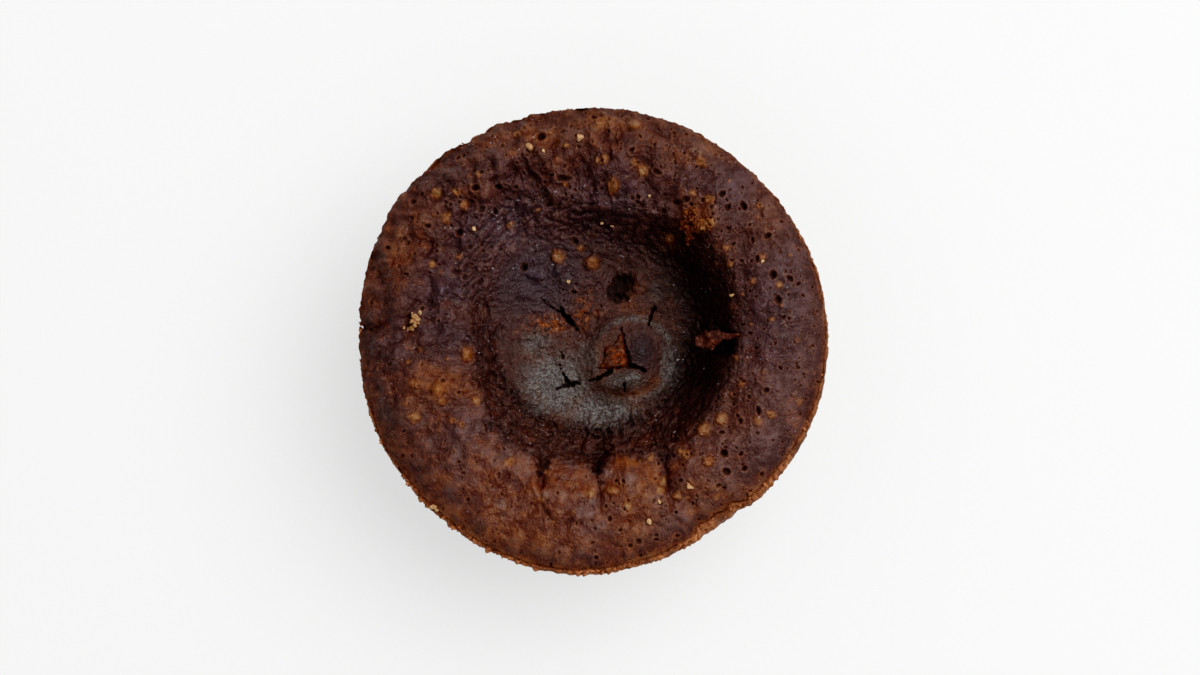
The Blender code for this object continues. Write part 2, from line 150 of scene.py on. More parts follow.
# Furrows: x, y, half width and depth at each point along them
FURROWS = (
    ((-7.7, -19.6, 1, 1.1), (-8.2, -23.2, 0.7, 1.3), (-7.8, -26.6, 0.5, 0.8), (-6.4, -32, 0.4, 0.2)),
    ((0.9, -19, 1.6, 1.2), (0.9, -22.4, 0.8, 1.3), (0.8, -25, 0.5, 0.8), (1.2, -28, 0.4, 0.4),
     (1.4, -31, 0.4, 0.1)),
    ((11.4, -18.2, 0.9, 0.9), (12, -21.5, 0.7, 1.3), (12.3, -25.6, 0.5, 0.8), (13.5, -30, 0.4, 0.1)),
    ((6.6, -25.6, 0.4, 0.3), (5.8, -28.8, 0.5, 0.6), (5, -31.4, 0.4, 0.1)),
    ((-3.6, -26.2, 0.4, 0.3), (-4.2, -29.4, 0.5, 0.7), (-4, -32, 0.4, 0.2)),
    ((-13.4, -21.2, 0.7, 0.6), (-14.4, -24, 0.6, 0.5), (-14, -27, 0.4, 0.2)),
    ((-17, 30, 0.6, 0.3), (-15.8, 27, 0.7, 1), (-14.7, 24.2, 0.7, 0.9), (-13.4, 22.2, 0.6, 0.5)),
    ((-12.8, 30.2, 0.6, 0.4), (-10.8, 27.5, 0.7, 1.1), (-9, 25, 0.7, 1.2), (-7.4, 21.8, 0.8, 0.9)),
    ((-10.3, 30.8, 0.4, 0.2), (-8.4, 27.2, 0.6, 0.7), (-6.6, 23.4, 0.6, 0.7), (-5.4, 20.6, 0.6, 0.4)),
    ((-3, 31, 0.4, 0.3), (-1.6, 28.3, 0.6, 0.7), (-0.4, 25.3, 0.7, 0.6), (0.2, 22.8, 0.6, 0.4)),
    ((-21, 17.5, 0.5, 0.2), (-17.6, 15.2, 0.7, 0.6), (-14.6, 14.6, 0.6, 0.3)),
    ((-38, 2, 0.5, 0.8), (-34, 2.2, 0.5, 0.6), (-31, 3.2, 0.4, 0.3), (-28.6, 3.6, 0.4, 0.1)),
    ((-19.4, 12.5, 0.6, 0.2), (-17.6, 6.8, 0.9, 0.4), (-16.6, 2, 1.1, 0.7), (-16.2, -2, 0.9, 0.6),
     (-14.4, -6.6, 0.9, 0.7), (-12.2, -10.4, 0.7, 0.3)),
    ((-21.4, 3.6, 0.5, 0.3), (-19.6, 0.4, 0.7, 0.6), (-18.9, -4.6, 0.8, 0.6), (-16.8, -9.4, 0.7, 0.3)),
    ((19.6, -1.4, 1.5, 2.2), (22.4, -0.6, 1.5, 2.2)),
)
FURROW_RAGGEDNESS = 0.35
# Open cracks: x, y, half width and depth at each point along them
CRACKS = (
    ((-8.6, 6.9, 0.04, 0.2), (-7.4, 5.7, 0.08, 0.5), (-6.3, 5.1, 0.1, 0.8), (-5.3, 4.8, 0.24, 1.3),
     (-4.6, 4, 0.38, 1.9), (-4, 3.3, 0.42, 2.2), (-3.4, 2.6, 0.26, 1.6), (-2.7, 1.8, 0.05, 0.4)),
    ((-5.3, 4.8, 0.16, 0.9), (-5.6, 5.9, 0.05, 0.3)),
    ((-3.7, -7.2, 0.34, 1.6), (-4.5, -6.4, 0.22, 1.3), (-5.1, -5.4, 0.13, 0.9), (-5.6, -4, 0.05, 0.4)),
    ((-5, -3, 0.07, 0.5), (-5.3, -1.9, 0.05, 0.4)),
    ((-3.7, -7.2, 0.34, 1.4), (-4.8, -7.3, 0.2, 1), (-6.1, -7.9, 0.05, 0.4)),
    ((-3.7, -7.2, 0.34, 1.4), (-3, -6.9, 0.17, 0.9), (-2.3, -7.1, 0.04, 0.4)),
    ((2.9, -4.9, 0.26, 1.6), (1.6, -5.7, 0.26, 1.5), (0.5, -6.4, 0.2, 1.2), (-1, -6.5, 0.06, 0.3)),
    ((5.6, -3.9, 0.44, 1.9), (6.6, -4.2, 0.26, 1.5), (7.8, -4.7, 0.18, 1.1), (9.1, -5.2, 0.06, 0.5)),
    ((10.1, 5.8, 0.06, 0.5), (9.6, 4.8, 0.16, 1.1), (9.3, 4, 0.18, 1.2), (9, 2.7, 0.05, 0.5)),
    ((5, -7.1, 0.1, 0.5), (4.95, -8.6, 0.05, 0.4)),
    ((4.5, 2.2, 0.06, 0.5), (4.8, 0.6, 0.14, 1.3), (5.3, -1.8, 0.26, 1.6), (5.7, -4, 0.44, 1.8)),
)
CRACK_RAGGEDNESS = 0.25
PIT_CORNERS = ((4.6, 1.2), (0.7, -4.7), (5.8, -4.3))
PIT_WALL = 0.2
FILLING_BELOW_CRUST = 0.8
FILLING_THICKNESS = 3.6
NOTCH_BEARING = 177.0
NOTCH_DEPTH = 0.55
NOTCH_HALF_WIDTH = 0.65
# Where the floor, the sheen and the rim begin and end, as shares of the way up the wall
FLOOR_END = (-0.35, 0.10)
SHEEN_END = (-0.05, 0.38)
RIM_START = (0.78, 1.14)
# Points along each side of the noise's net, after which it repeats
NOISE_NET = 256
RIM_RAGGEDNESS = 0.169
# Noise of the crust in the plane: size, seed and octaves
RAGGED_RIM_NOISE = (2.6, 44, 3)
SWELL_NOISE = (4.6, 53, 2)
CRUMB_NOISE = (1.2, 49, 4)
CALM_NOISE = (7.0, 48, 2)
LEATHER_NOISE = (0.8, 57, 3)
BUBBLE_NOISE = (1.4, 80, 3)
CRACK_NOISE = (0.7, 59, 3)
FURROW_NOISE = (2.2, 50, 3)
FURROW_DEPTH_NOISE = (3.0, 76, 2)
# Knobs: how wide each is, as a share of their net; then size and seed of each kind on the crust
KNOB_SPREAD = 0.16
KNOBS = (2.5, 54)
SMALL_KNOBS = (1.1, 45)
BUBBLE_KNOBS = (1.1, 47)
# Noise round the ring: waves round it, length of a wave along the radius, seed and octaves
RIB_NOISE = (84, 8.0, 55, 3)
FOLD_NOISE = (24, 3.0, 56, 2)
FLAKE_NOISE = (52, 1.3, 46, 4)
# Noise that bends forms: how far, size, seed and octaves
FURROW_BEND = (0.8, 4.4, 74, 3)
LOBE_BEND = (1.5, 3.6, 77, 3)
CRUMB_BEND = (0.35, 3.4, 51, 2)
BLISTER_BEND = (0.3, 1.1, 61, 1)
# Where the ribs stand, as a share of the way up the wall, and how wide their belt is
RIB_BELT = (1.15, 0.55)
# For each eighth of the way round: knobbliness of the rim, height of the ribs at its inner edge, height of
# the folds in the wall, unevenness of the floor, and how far the rim's skin is thinned to a warmer brown
ROUGHNESS = (0.32, 0.78, 1.2, 1.38, 0.98, 0.5, 0.6, 0.48)
RIB_HEIGHT = (0.12, 0.35, 0.75, 0.85, 0.25, 0.15, 0.3, 0.15)
FOLD_HEIGHT = (0.35, 0.5, 0.75, 0.7, 0.9, 0.85, 1, 0.6)
FLOOR_UNEVENNESS = (0.3, 0.7, 0.9, 1, 0.6, 0.25, 0.25, 0.25)
WARMTH = (0.12, 0.18, 0.16, 0.18, 0.2, 0.44, 0.66, 0.35)
# For each eighth: grey bloom on the rim's skin, part of it painted sheen; how many painted glints catch the
# light; how dark the wall is, partly painted shade; and how far the top edge is torn and lifted into a lip
BLOOM_AND_SHEEN = (0.3, 0.3, 0.12, 0.16, 0.14, 0.55, 1, 0.65)
GLINTS = (0.6, 0.5, 0.55, 0.75, 0.5, 0.45, 0.5, 0.7)
WALL_DARKNESS = (0.9, 0.85, 0.45, 0.25, 0.85, 0.85, 0.75, 0.85)
TORN_LIP = (0.45, 0.35, 0.3, 0.28, 0.5, 1, 0.9, 0.7)
# Dry sheen on the floor, as gloss and as painted grey sheen in the colour: x, y, half length, half width,
# strength
SHEEN_PATCHES = (
    (-6, -7, 9.5, 8.5, 1), (1.5, -11.5, 9.5, 5.5, 1), (12.5, -4.5, 3.6, 8, 0.85),
    (-9.5, -0.5, 5.5, 5, 0.8), (4.9, -6.6, 5.8, 2.8, 1), (-1.2, -2.5, 3.4, 4.5, 0.9),
    (-4, 9, 6, 4.5, 0.6), (10, 8, 3, 4, 0.7), (-9, -11, 5, 4.5, 0.85),
)
# Purple-brown skin, its cool tint a painted reflection of the sky on moist skin, and painted deep shade
# under the rim at the right and the top, in the same form
PURPLE_PATCHES = (
    (-15, 19, 11, 8, 1), (-9, 10, 9, 8, 1), (29, 5, 7, 16, 0.75), (26, -15, 8, 7, 0.7),
    (21, 23, 9, 7, 0.7), (-22, 5, 7, 10, 0.9), (7.9, -1.7, 2.2, 2.8, 1), (-31, -1, 4, 7, 0.5),
    (-20, -15, 6, 5, 0.5), (3, 21, 10, 7, 0.8), (-2, -29, 3, 5, 0.5), (12, -30, 4, 3, 0.5),
)
DEEP_PATCHES = (
    (14, 9.5, 5, 5.5, 0.85), (17.5, 1.5, 4.5, 8, 0.95), (18.5, -6, 3.5, 5, 0.75), (5, 15.5, 7, 2.8, 0.4),
    (-3, 19.5, 5, 2.4, 0.3), (12, 15, 3, 3, 0.4), (7.9, -1.7, 2, 2.7, 0.6), (-37, -2, 2.6, 10, 0.1),
    (-33.5, -15, 3, 7, 0.3),
)
SHEEN_RING_REACH = 6.7
SHEEN_RING_WIDTH = 1.5
SHEEN_RING_STRENGTH = 0.75
FLOOR_SHEEN = 0.52
SHADED_BEARING = 8.0
# Burst bubbles that show best: x, y, radius
OPEN_PORES = (
    (-5, 25.7, 0.7), (10.3, 26.6, 0.6), (-8.3, 32.4, 0.55), (-18.8, 24.1, 0.5), (-21.4, 17, 0.52),
    (-17.8, 20.7, 0.5), (-15.7, 20.5, 0.5), (-12.3, 24.3, 0.45), (-15, 24.4, 0.42), (-21.8, 29.3, 0.4),
    (-29, 22.1, 0.45), (-30.4, 16, 0.42), (-3, 16.2, 0.45), (-3.3, 8, 0.42), (6.3, 30.1, 0.48),
    (13.6, 21.9, 0.65), (14.8, 22.2, 0.6), (11.4, 20.6, 0.45), (20.7, 23, 0.5), (24.2, 21.2, 0.62),
    (21.6, 20.8, 0.45), (28, 16.4, 0.52), (25.6, 15.7, 0.42), (26.3, 12.6, 0.52), (28.8, 10.1, 0.6),
    (31.5, 9.5, 0.52), (32.9, 8.7, 0.36), (29.6, 6.1, 0.58), (29.1, -0.9, 0.32), (29.9, -4.8, 0.38),
    (27.6, -8.4, 0.42), (26.4, -11.6, 0.6), (23.6, -13.3, 0.42), (20.9, -18.4, 0.58), (21.3, -21.3, 0.6),
    (24.2, -20.8, 0.42), (27, -21.7, 0.42), (20, -23.5, 0.36), (14, -22.7, 0.32), (3.8, -22.8, 0.32),
    (2.1, -26.8, 0.32), (-0.1, -32.7, 0.38), (7.3, -32.5, 0.42), (-11.3, 11.9, 0.55), (3.9, 7.4, 0.55),
    (4.9, 9.9, 0.45), (3.6, 9, 0.35),
)
# Closed blisters with a thin ochre skin: x, y, half length, half width
BLISTERS = (
    (-5.8, 13.6, 1.25, 1.2), (-0.3, 12.7, 1.45, 1.35), (-2.2, 15, 0.7, 0.65), (3.3, 24.3, 1, 1.45),
    (8, 26.9, 0.95, 1.15), (1.9, 28.7, 0.9, 0.85), (1.1, 34.6, 1, 1.05), (6.7, 34.2, 1.2, 0.95),
    (17.3, 28.3, 1.05, 0.95), (18.6, 22.2, 0.85, 0.75), (12.4, 16.3, 0.9, 0.9), (27.1, 13, 0.7, 0.65),
    (17.8, -14.6, 1.25, 1.15), (20.5, -12.9, 1.1, 1.05), (26.4, -13.4, 0.9, 0.85),
    (18.3, -19.7, 0.9, 0.95), (23.6, -7.4, 0.6, 0.55), (14.8, -18.5, 0.75, 0.7), (9.3, -19.3, 0.6, 0.6),
    (13.5, -25.2, 0.8, 0.9), (28.4, -12.3, 0.8, 0.7), (-20.6, 21.3, 0.8, 0.95), (-23.4, 19.4, 0.8, 1),
    (-25.2, 23.4, 0.9, 0.85), (-13.5, 18.6, 0.6, 0.6), (-28.3, -7.4, 1.2, 1), (-24.6, -8.3, 1.2, 1.1),
    (-28.5, -12.7, 1.05, 1), (-22.4, -13.3, 0.8, 0.8), (-13.4, -19.8, 0.9, 0.8), (3, -24.3, 1.2, 0.75),
    (11.3, -22.9, 0.55, 0.8), (-20.1, -2.7, 0.95, 1.2), (-18.8, -10, 0.6, 0.85),
)
# Orange-brown patches, where the crust is thin: x, y, half length, half width, strength
THIN_PATCHES = (
    (-20.1, -2.7, 1.1, 1.3, 1), (-24, -7.4, 4.6, 2.4, 0.9), (-28.5, -9, 2.6, 3, 0.5),
    (-6.4, -22.2, 0.9, 1.5, 0.9), (-3.2, -25.5, 1.6, 2.4, 0.45), (3.4, -23.8, 1.8, 1.3, 0.7),
    (-1, -24.6, 0.9, 1.8, 0.55), (9.8, -21.8, 1.3, 2.4, 0.55), (-8.6, -26, 1, 1.8, 0.45),
    (8.5, -27.5, 3.6, 5, 0.45), (16.5, -24, 4, 5.5, 0.25), (23, -13, 5, 3.5, 0.35),
    (-5.6, -21.2, 1.2, 0.7, 0.8), (5.6, -19.9, 2.4, 0.8, 1), (-25.5, -5.5, 1.8, 1.2, 0.8),
    (-21, -8.5, 2, 1, 0.8), (17, 19.6, 2.6, 2.6, 1), (12.6, 16.2, 1.4, 1.4, 0.8),
    (2, 34.6, 5.5, 1.4, 0.7), (-8, 33.5, 6, 2.4, 0.35), (19, 30.5, 6, 2.2, 0.4),
    (-31, 13.5, 2.6, 3.2, 0.6), (-18, 23.5, 3.5, 2.2, 0.4), (-26, 20, 4, 3, 0.3), (-20.5, 4, 3, 2, 0.3),
    (28, 20, 3.5, 5, 0.3), (-10, -30, 7, 4, 0.35), (5.8, 7.6, 0.9, 1.6, 0.6), (10.6, -6.6, 1.3, 0.9, 0.6),
    (9, -7.6, 2, 0.5, 0.5), (0.6, -1.2, 1.6, 1.6, 0.3), (-9, -3.5, 1.6, 1.2, 0.3),
)
# Wet crumb that shows beside the split, in the same form
WET_PATCHES = (
    (-7.4, 2.7, 3.2, 1.3, 1), (-2, 3.9, 1.3, 1.6, 1), (-1.4, 6.6, 1.4, 2.1, 0.6),
    (0.8, 4.7, 2.4, 0.8, 0.3), (-4.8, 2.2, 1.2, 0.7, 0.7),
)
PORE_SEED = 21
PICKED_PORE_SHARE = 1.12
PORE_COUNT = 2000
FLOOR_PORE_COUNT = 150
FLOOR_PORE_MIDDLE = (-3.5, 10.5)
FLOOR_PORE_SPREAD = (5.5, 4.5)
PORE_BAND = (22.0, 36.9)
# For each eighth: how many of the seeded pores are kept
PORE_SHARE = (0.95, 0.9, 0.85, 0.8, 0.45, 0.4, 0.6, 0.85)
SMALLEST_PORE = 0.13
PORE_SPREAD = 0.42
FLOOR_PORE_SIZES = 0.2
PORE_SQUASH = (0.45, 0.85)
BLISTER_SEED = 33
SMALL_BLISTER_COUNT = 170
SMALL_BLISTER_BAND = (22.5, 36.0)
SMALL_BLISTER_SIZES = (0.30, 0.80)
SMALL_BLISTER_SQUASH = 0.9
LEAST_PICKED_OCHRE = 0.65
CRATER_NET = 309
SEAM_REACH = 0.95
PLUG_FLOOR = 13.5
LEDGE_DROP = 0.6
LEDGE_SCALE = 1.018
PLUG_SCALE = 0.97
# Colours of the crust, painted light among them: the hollow tint is painted shade in the relief's hollows and
# also darkens the wet crumb; the wall tint is partly painted shade on the crater walls; the sky purple is a
# painted reflection; the bloom grey is partly painted sheen; the floor's sheen grey is painted sheen; the
# shade black is painted shade in pockets, pores and cracks; the glint pale is painted glints
HOLLOW_TINT = (0.46, 0.29, 0.23, 1.0)
SKIN_BROWN = (0.078, 0.027, 0.0185, 1.0)
PURPLE_SKY_REFLECTION = (0.054, 0.031, 0.0425, 1.0)
BLOOM_AND_SHEEN_GREY = (0.134, 0.064, 0.056, 1.0)
WARM_BROWN = (0.19, 0.056, 0.018, 1.0)
THIN_ORANGE = (0.26, 0.082, 0.017, 1.0)
FLOOR_BROWN = (0.023, 0.012, 0.01, 1.0)
PAINTED_SHEEN_GREY = (0.085, 0.078, 0.069, 1.0)
WALL_TINT = (0.4, 0.3, 0.24, 1.0)
OCHRE = (0.29, 0.165, 0.082, 1.0)
WET_ORANGE = (0.31, 0.075, 0.006, 1.0)
SHADE_BLACK = (0.009, 0.0028, 0.0016, 1.0)
GLINT_PALE = (0.34, 0.33, 0.38, 1.0)
CRUST_GRAIN_DEPTH = 0.24e-3
CRUST_SPECULAR = 0.27
COAT_ROUGHNESS = 0.37


def round_the_ring(values, bearing):
    """A smooth closed curve (Catmull-Rom) through values that are evenly spaced round the circle."""
    values = np.asarray(values, dtype=float)
    count = len(values)
    place = np.degrees(bearing) / 360.0 * count
    first = np.floor(place).astype(int)
    t = place - first
    before, here, after, beyond = (values[(first + step) % count] for step in (-1, 0, 1, 2))
    bend = 2 * before - 5 * here + 4 * after - beyond
    twist = 3 * here - 3 * after + beyond - before
    return here + 0.5 * t * (after - before + t * (bend + t * twist))


def smooth_profile(distance, places, heights):
    """Cubic pieces through (places, heights); each slope is the harmonic mean of its neighbours' grades."""
    runs = [after - before for before, after in zip(places, places[1:])]
    grades = [(after - before) / run for before, after, run in zip(heights, heights[1:], runs)]
    slopes = [0.0 * grades[0]]
    for before, after in zip(grades, grades[1:]):
        same_way = before * after > 0
        total = np.where(same_way, before + after, 1.0)
        slopes.append(np.where(same_way, 2 * before * after / total, 0.0))
    slopes.append(0.0 * grades[0])
    result = heights[0] + 0.0 * distance
    for k, run in enumerate(runs):
        t = np.clip((distance - places[k]) / run, 0.0, 1.0)
        rise = t * t * (3 - 2 * t)
        leave = t * (1 - t) ** 2 * run * slopes[k]
        arrive = t * t * (t - 1) * run * slopes[k + 1]
        piece = heights[k] + rise * (heights[k + 1] - heights[k]) + leave + arrive
        result = np.where(distance >= places[k], piece, result)
    return result


def ramp(value, start, end):
    """0 before the start and 1 past the end, with a smooth cubic step between."""
    t = np.clip((value - start) / (end - start), 0.0, 1.0)
    return t * t * (3 - 2 * t)


def bell(value, middle=0.0, width=1.0):
    """A bell curve: one over e to the square of the distance from its middle, in widths."""
    return np.exp(-(((value - middle) / width) ** 2))


def plateau(value):
    """A flat-topped bell: one over e to the fourth power of the distance."""
    return np.exp(-(value ** 4))


def lumps(x, y, size, waves, seed):
    """A sum of plane cosine waves in seeded directions, with lengths about the given size."""
    draw = np.random.default_rng(seed)
    total = np.zeros_like(x)
    for _ in range(waves):
        heading, phase = draw.uniform(0, 2 * math.pi, 2)
        length = size * draw.uniform(0.7, 1.5)
        total += np.cos(2 * math.pi * (x * math.cos(heading) + y * math.sin(heading)) / length + phase)
    return total / math.sqrt(waves)


def hills(u, v, seed, around=NOISE_NET):
    """Gradient noise from -1 to 1: a seeded slope at each point of a net, blended by quintic steps."""
    slope = np.random.default_rng(seed).uniform(0.0, 2 * math.pi, (around, NOISE_NET))
    column, row = np.floor(u).astype(int), np.floor(v).astype(int)
    across, along = u - column, v - row
    ease_across = across ** 3 * (across * (6 * across - 15) + 10)
    ease_along = along ** 3 * (along * (6 * along - 15) + 10)
    total = np.zeros_like(u)
    for i, j in ((0, 0), (1, 0), (0, 1), (1, 1)):
        way = slope[(column + i) % around, (row + j) % NOISE_NET]
        share = np.abs(1 - i - ease_across) * np.abs(1 - j - ease_along)
        total += share * (np.cos(way) * (across - i) + np.sin(way) * (along - j))
    return 1.5 * total


def octaves_of(shape, fade, u, v, seed, octaves, around=NOISE_NET):
    """Gradient noise through a shape, summed over octaves, each half the size of the last and fainter."""
    layers = [2 ** k for k in range(octaves)]
    return sum(
        fade ** k * shape(hills(u * n, v * n, seed + 100 * k, around * n)) for k, n in enumerate(layers)
    )


# Hills at all scales; and rounded puffs with sharp creases between them, from noise less its sign
rough_hills = functools.partial(octaves_of, np.positive, 0.5)
puffs = functools.partial(octaves_of, np.abs, 0.62)


def in_plane(noise, x, y, size, *details):
    """Noise in the plane with waves of the given size."""
    return noise(x / size, y / size, *details)


def round_ring(noise, turns, along, waves, length, seed, octaves, sway=0.0):
    """Noise that closes round the ring: a whole number of waves round it, and a wave length along it."""
    return noise(turns * waves + sway, along / length, seed, octaves, waves)


def bent(x, y, reach, size, seed, octaves):
    """Both coordinates, each moved by its own noise, up to the given reach."""
    shifts = (reach * in_plane(rough_hills, x, y, size, seed + k, octaves) for k in (0, 1))
    return [line + shift for line, shift in zip((x, y), shifts)]


def knobs(u, v, seed, around=NOISE_NET):
    """Rounded knobs: a bell curve of seeded height at each point of a jittered net, summed."""
    spots = np.random.default_rng(seed).uniform(0.0, 1.0, (around, NOISE_NET, 3))
    column, row = np.floor(u).astype(int), np.floor(v).astype(int)
    total = np.zeros_like(u)
    for i, j in ((i, j) for i in (-1, 0, 1) for j in (-1, 0, 1)):
        spot = spots[(column + i) % around, (row + j) % NOISE_NET]
        away = (column + i + spot[:, 0] - u) ** 2 + (row + j + spot[:, 1] - v) ** 2
        total += spot[:, 2] ** 2 * np.exp(-away / KNOB_SPREAD)
    return total


def outline_radius(bearing):
    """The widest radius: a mean circle plus slow cosine waves."""
    return MEAN_RADIUS + sum(
        height * np.cos(waves * (bearing - math.radians(peak))) for waves, height, peak in OUT_OF_ROUND
    )


def outline_middle():
    """Middle of the outline's box, which every point is moved by, as the solid's points are."""
    bearing = np.radians(np.arange(0.0, 360.0, 0.5))
    radius = outline_radius(bearing)
    x, y = radius * np.cos(bearing), radius * np.sin(bearing)
    return np.array([(x.max() + x.min()) / 2, (y.max() + y.min()) / 2, 0.0])


def off_bearing(bearing, middle):
    """Degrees of turn from a bearing in degrees, between -180 and 180."""
    return (np.degrees(bearing) - middle + 180.0) % 360.0 - 180.0


def chip(bearing, height):
    """Depth of the torn chip: a fourth-power plateau times a slow wave, running out down the side."""
    off = off_bearing(bearing, CHIP_BEARING)
    across = np.clip(1.0 - (off / CHIP_HALF_WIDTH) ** 4, 0.0, 1.0)
    ragged = 1.0 + CHIP_RAGGEDNESS * np.cos(np.radians(off * CHIP_WAVES))
    down = np.clip(1.0 - (CREST_HEIGHT - SHOULDER_DROP - height) / CHIP_REACH_DOWN, 0.0, 1.0)
    return CHIP_DEPTH * across * ragged * down


def notch(bearing):
    """Depth of the narrow notch in the left edge: a bell curve across it."""
    across = np.radians(off_bearing(bearing, NOTCH_BEARING)) * MEAN_RADIUS
    return NOTCH_DEPTH * bell(across, 0.0, NOTCH_HALF_WIDTH)


def top_edge_radius(bearing):
    """Radius of the edge between the top and the side crust."""
    return outline_radius(bearing) - round_the_ring(LIP_OVERHANG, bearing) - chip(bearing, CREST_HEIGHT)


def from_point(x, y, point):
    """Distance and bearing from a point."""
    return np.hypot(x - point[0], y - point[1]), np.arctan2(y - point[1], x - point[0])


def oval(x, y, centre_x, centre_y, half_length, half_width, turn=0.0):
    """Distance from a centre in units of an oval's half sizes, the oval turned by a bearing."""
    along_x, along_y = math.cos(math.radians(turn)), math.sin(math.radians(turn))
    along = ((x - centre_x) * along_x + (y - centre_y) * along_y) / half_length
    across = ((y - centre_y) * along_x - (x - centre_x) * along_y) / half_width
    return np.hypot(along, across)


def raised(x, y, forms):
    """The sum of several oval forms, each a bell curve."""
    return sum(rise * bell(oval(x, y, *place)) for *place, rise in forms)


def patches(x, y, rows):
    """The strongest of several oval patches at each point, each a bell curve."""
    return functools.reduce(np.maximum, (strength * bell(oval(x, y, *place)) for *place, strength in rows))


def to_segment(x, y, start_x, start_y, end_x, end_y):
    """Distance from a straight segment, and how far along it the nearest point lies, 0 to 1."""
    run_x, run_y = end_x - start_x, end_y - start_y
    length = math.hypot(run_x, run_y)
    t = np.clip(((x - start_x) * run_x + (y - start_y) * run_y) / length ** 2, 0.0, 1.0)
    return np.hypot(x - start_x - t * run_x, y - start_y - t * run_y), t


def open_courses(x, y, courses, jitter, shape):
    """For each straight of each course: a shape of the distance over its half width, and its depth there."""
    for course in courses:
        for (x0, y0, width0, depth0), (x1, y1, width1, depth1) in zip(course, course[1:]):
            off, t = to_segment(x, y, x0, y0, x1, y1)
            yield shape((off + jitter) / (width0 + t * (width1 - width0))), depth0 + t * (depth1 - depth0)


def furrow_depth(x, y):
    """Depth of the furrows: a bell curve across each ragged course, and the deepest of them."""
    jitter = FURROW_RAGGEDNESS * in_plane(rough_hills, x, y, *FURROW_NOISE)
    courses = open_courses(*bent(x, y, *FURROW_BEND), FURROWS, jitter, bell)
    deepest = functools.reduce(np.maximum, (share * depth for share, depth in courses))
    return deepest * (0.85 + 0.5 * in_plane(rough_hills, x, y, *FURROW_DEPTH_NOISE))


def top_height(x, y):
    """Crest height, less the sunken profile and the shoulder's power curve, plus mound, lumps and furrows."""
    q, bearing = from_point(x, y, CRATER_CENTRE)
    foot, edge = round_the_ring(WALL_FOOT, bearing), round_the_ring(WALL_EDGE, bearing)
    places = [0.0 * q, foot, edge, edge + EDGE_ROUNDING]
    depths = [CENTRE_DEPTH + 0.0 * q, round_the_ring(FOOT_DEPTH, bearing), EDGE_DEPTH + 0.0 * q, 0.0 * q]
    from_edge = top_edge_radius(np.arctan2(y, x)) - np.hypot(x, y)
    inward = np.clip(from_edge, 0.0, SHOULDER_WIDTH) / SHOULDER_WIDTH
    lump_share = (LUMP_SHARE_AT_EDGE + (1.0 - LUMP_SHARE_AT_EDGE) * inward) * np.clip(q / edge, 0.0, 1.0)
    height = CREST_HEIGHT - smooth_profile(q, places, depths)
    height -= SHOULDER_DROP * (1.0 - inward) ** SHOULDER_POWER
    height += MOUND_HEIGHT * plateau(from_point(x, y, MOUND_CENTRE)[0] / MOUND_RADIUS)
    height += LUMP_HEIGHT * lump_share * lumps(x, y, LUMP_SIZE, LUMP_WAVES, LUMP_SEED)
    return height + raised(x, y, BUMPS) - furrow_depth(x, y)


def nearby(x, y, centre_x, centre_y, reach):
    """Indices of the points within a square round a centre."""
    return np.flatnonzero((np.abs(x - centre_x) < reach) & (np.abs(y - centre_y) < reach))


def pore_list():
    """The pores listed, then seeded ones that are denser to the right: x, y, radius, squash, turn."""
    draw = np.random.default_rng(PORE_SEED)
    reach = np.sqrt(draw.uniform(PORE_BAND[0] ** 2, PORE_BAND[1] ** 2, PORE_COUNT))
    bearing = draw.uniform(-math.pi, math.pi, PORE_COUNT)
    keep = draw.uniform(0.0, 1.0, PORE_COUNT) < round_the_ring(PORE_SHARE, bearing)
    radius = SMALLEST_PORE + PORE_SPREAD * draw.beta(1.0, 4.4, PORE_COUNT)
    strewn = np.column_stack([reach * np.cos(bearing), reach * np.sin(bearing), radius])[keep]
    on_floor = draw.normal(FLOOR_PORE_MIDDLE, FLOOR_PORE_SPREAD, (FLOOR_PORE_COUNT, 2))
    radius = SMALLEST_PORE + FLOOR_PORE_SIZES * draw.beta(1.0, 4.0, FLOOR_PORE_COUNT)
    picked = np.array(OPEN_PORES) * (1.0, 1.0, PICKED_PORE_SHARE)
    every = np.concatenate([picked, strewn, np.column_stack([on_floor, radius])])
    squash = draw.uniform(*PORE_SQUASH, len(every))
    return np.column_stack([every, squash, draw.uniform(0.0, 180.0, len(every))])


def blister_list():
    """The blisters listed, then seeded small ones: x, y, half length, half width, how ochre it is."""
    draw = np.random.default_rng(BLISTER_SEED)
    reach = draw.uniform(*SMALL_BLISTER_BAND, SMALL_BLISTER_COUNT)
    bearing = draw.uniform(-math.pi, math.pi, SMALL_BLISTER_COUNT)
    size = draw.uniform(*SMALL_BLISTER_SIZES, SMALL_BLISTER_COUNT)
    x, y = reach * np.cos(bearing), reach * np.sin(bearing)
    every = np.concatenate([np.array(BLISTERS), np.column_stack([x, y, size, SMALL_BLISTER_SQUASH * size])])
    ochre = draw.uniform(0.0, 1.0, len(every)) ** 1.9
    ochre[:len(BLISTERS)] = LEAST_PICKED_OCHRE + (1.0 - LEAST_PICKED_OCHRE) * ochre[:len(BLISTERS)]
    return np.column_stack([every, ochre])


def triangle_sides(corners):
    """For each side of a triangle: its first corner, and the unit vector that points inwards across it."""
    heart = np.mean(corners, axis=0)
    for start, end in zip(corners, corners[1:] + corners[:1]):
        start, run = np.array(start), np.subtract(end, start)
        inward = np.array([-run[1], run[0]]) / np.hypot(*run)
        yield start, inward * np.sign((heart - start) @ inward)


def inside_triangle(x, y, corners):
    """Distance inside a three-cornered outline: the least of the distances from its sides."""
    sides = triangle_sides(corners)
    return functools.reduce(np.minimum, ((x - a) * in_x + (y - b) * in_y for (a, b), (in_x, in_y) in sides))


def pit_floor():
    """Height of the floor of the well under the split."""
    return top_height(*np.array(PIT_CORNERS).T).min() - FILLING_BELOW_CRUST - FILLING_THICKNESS


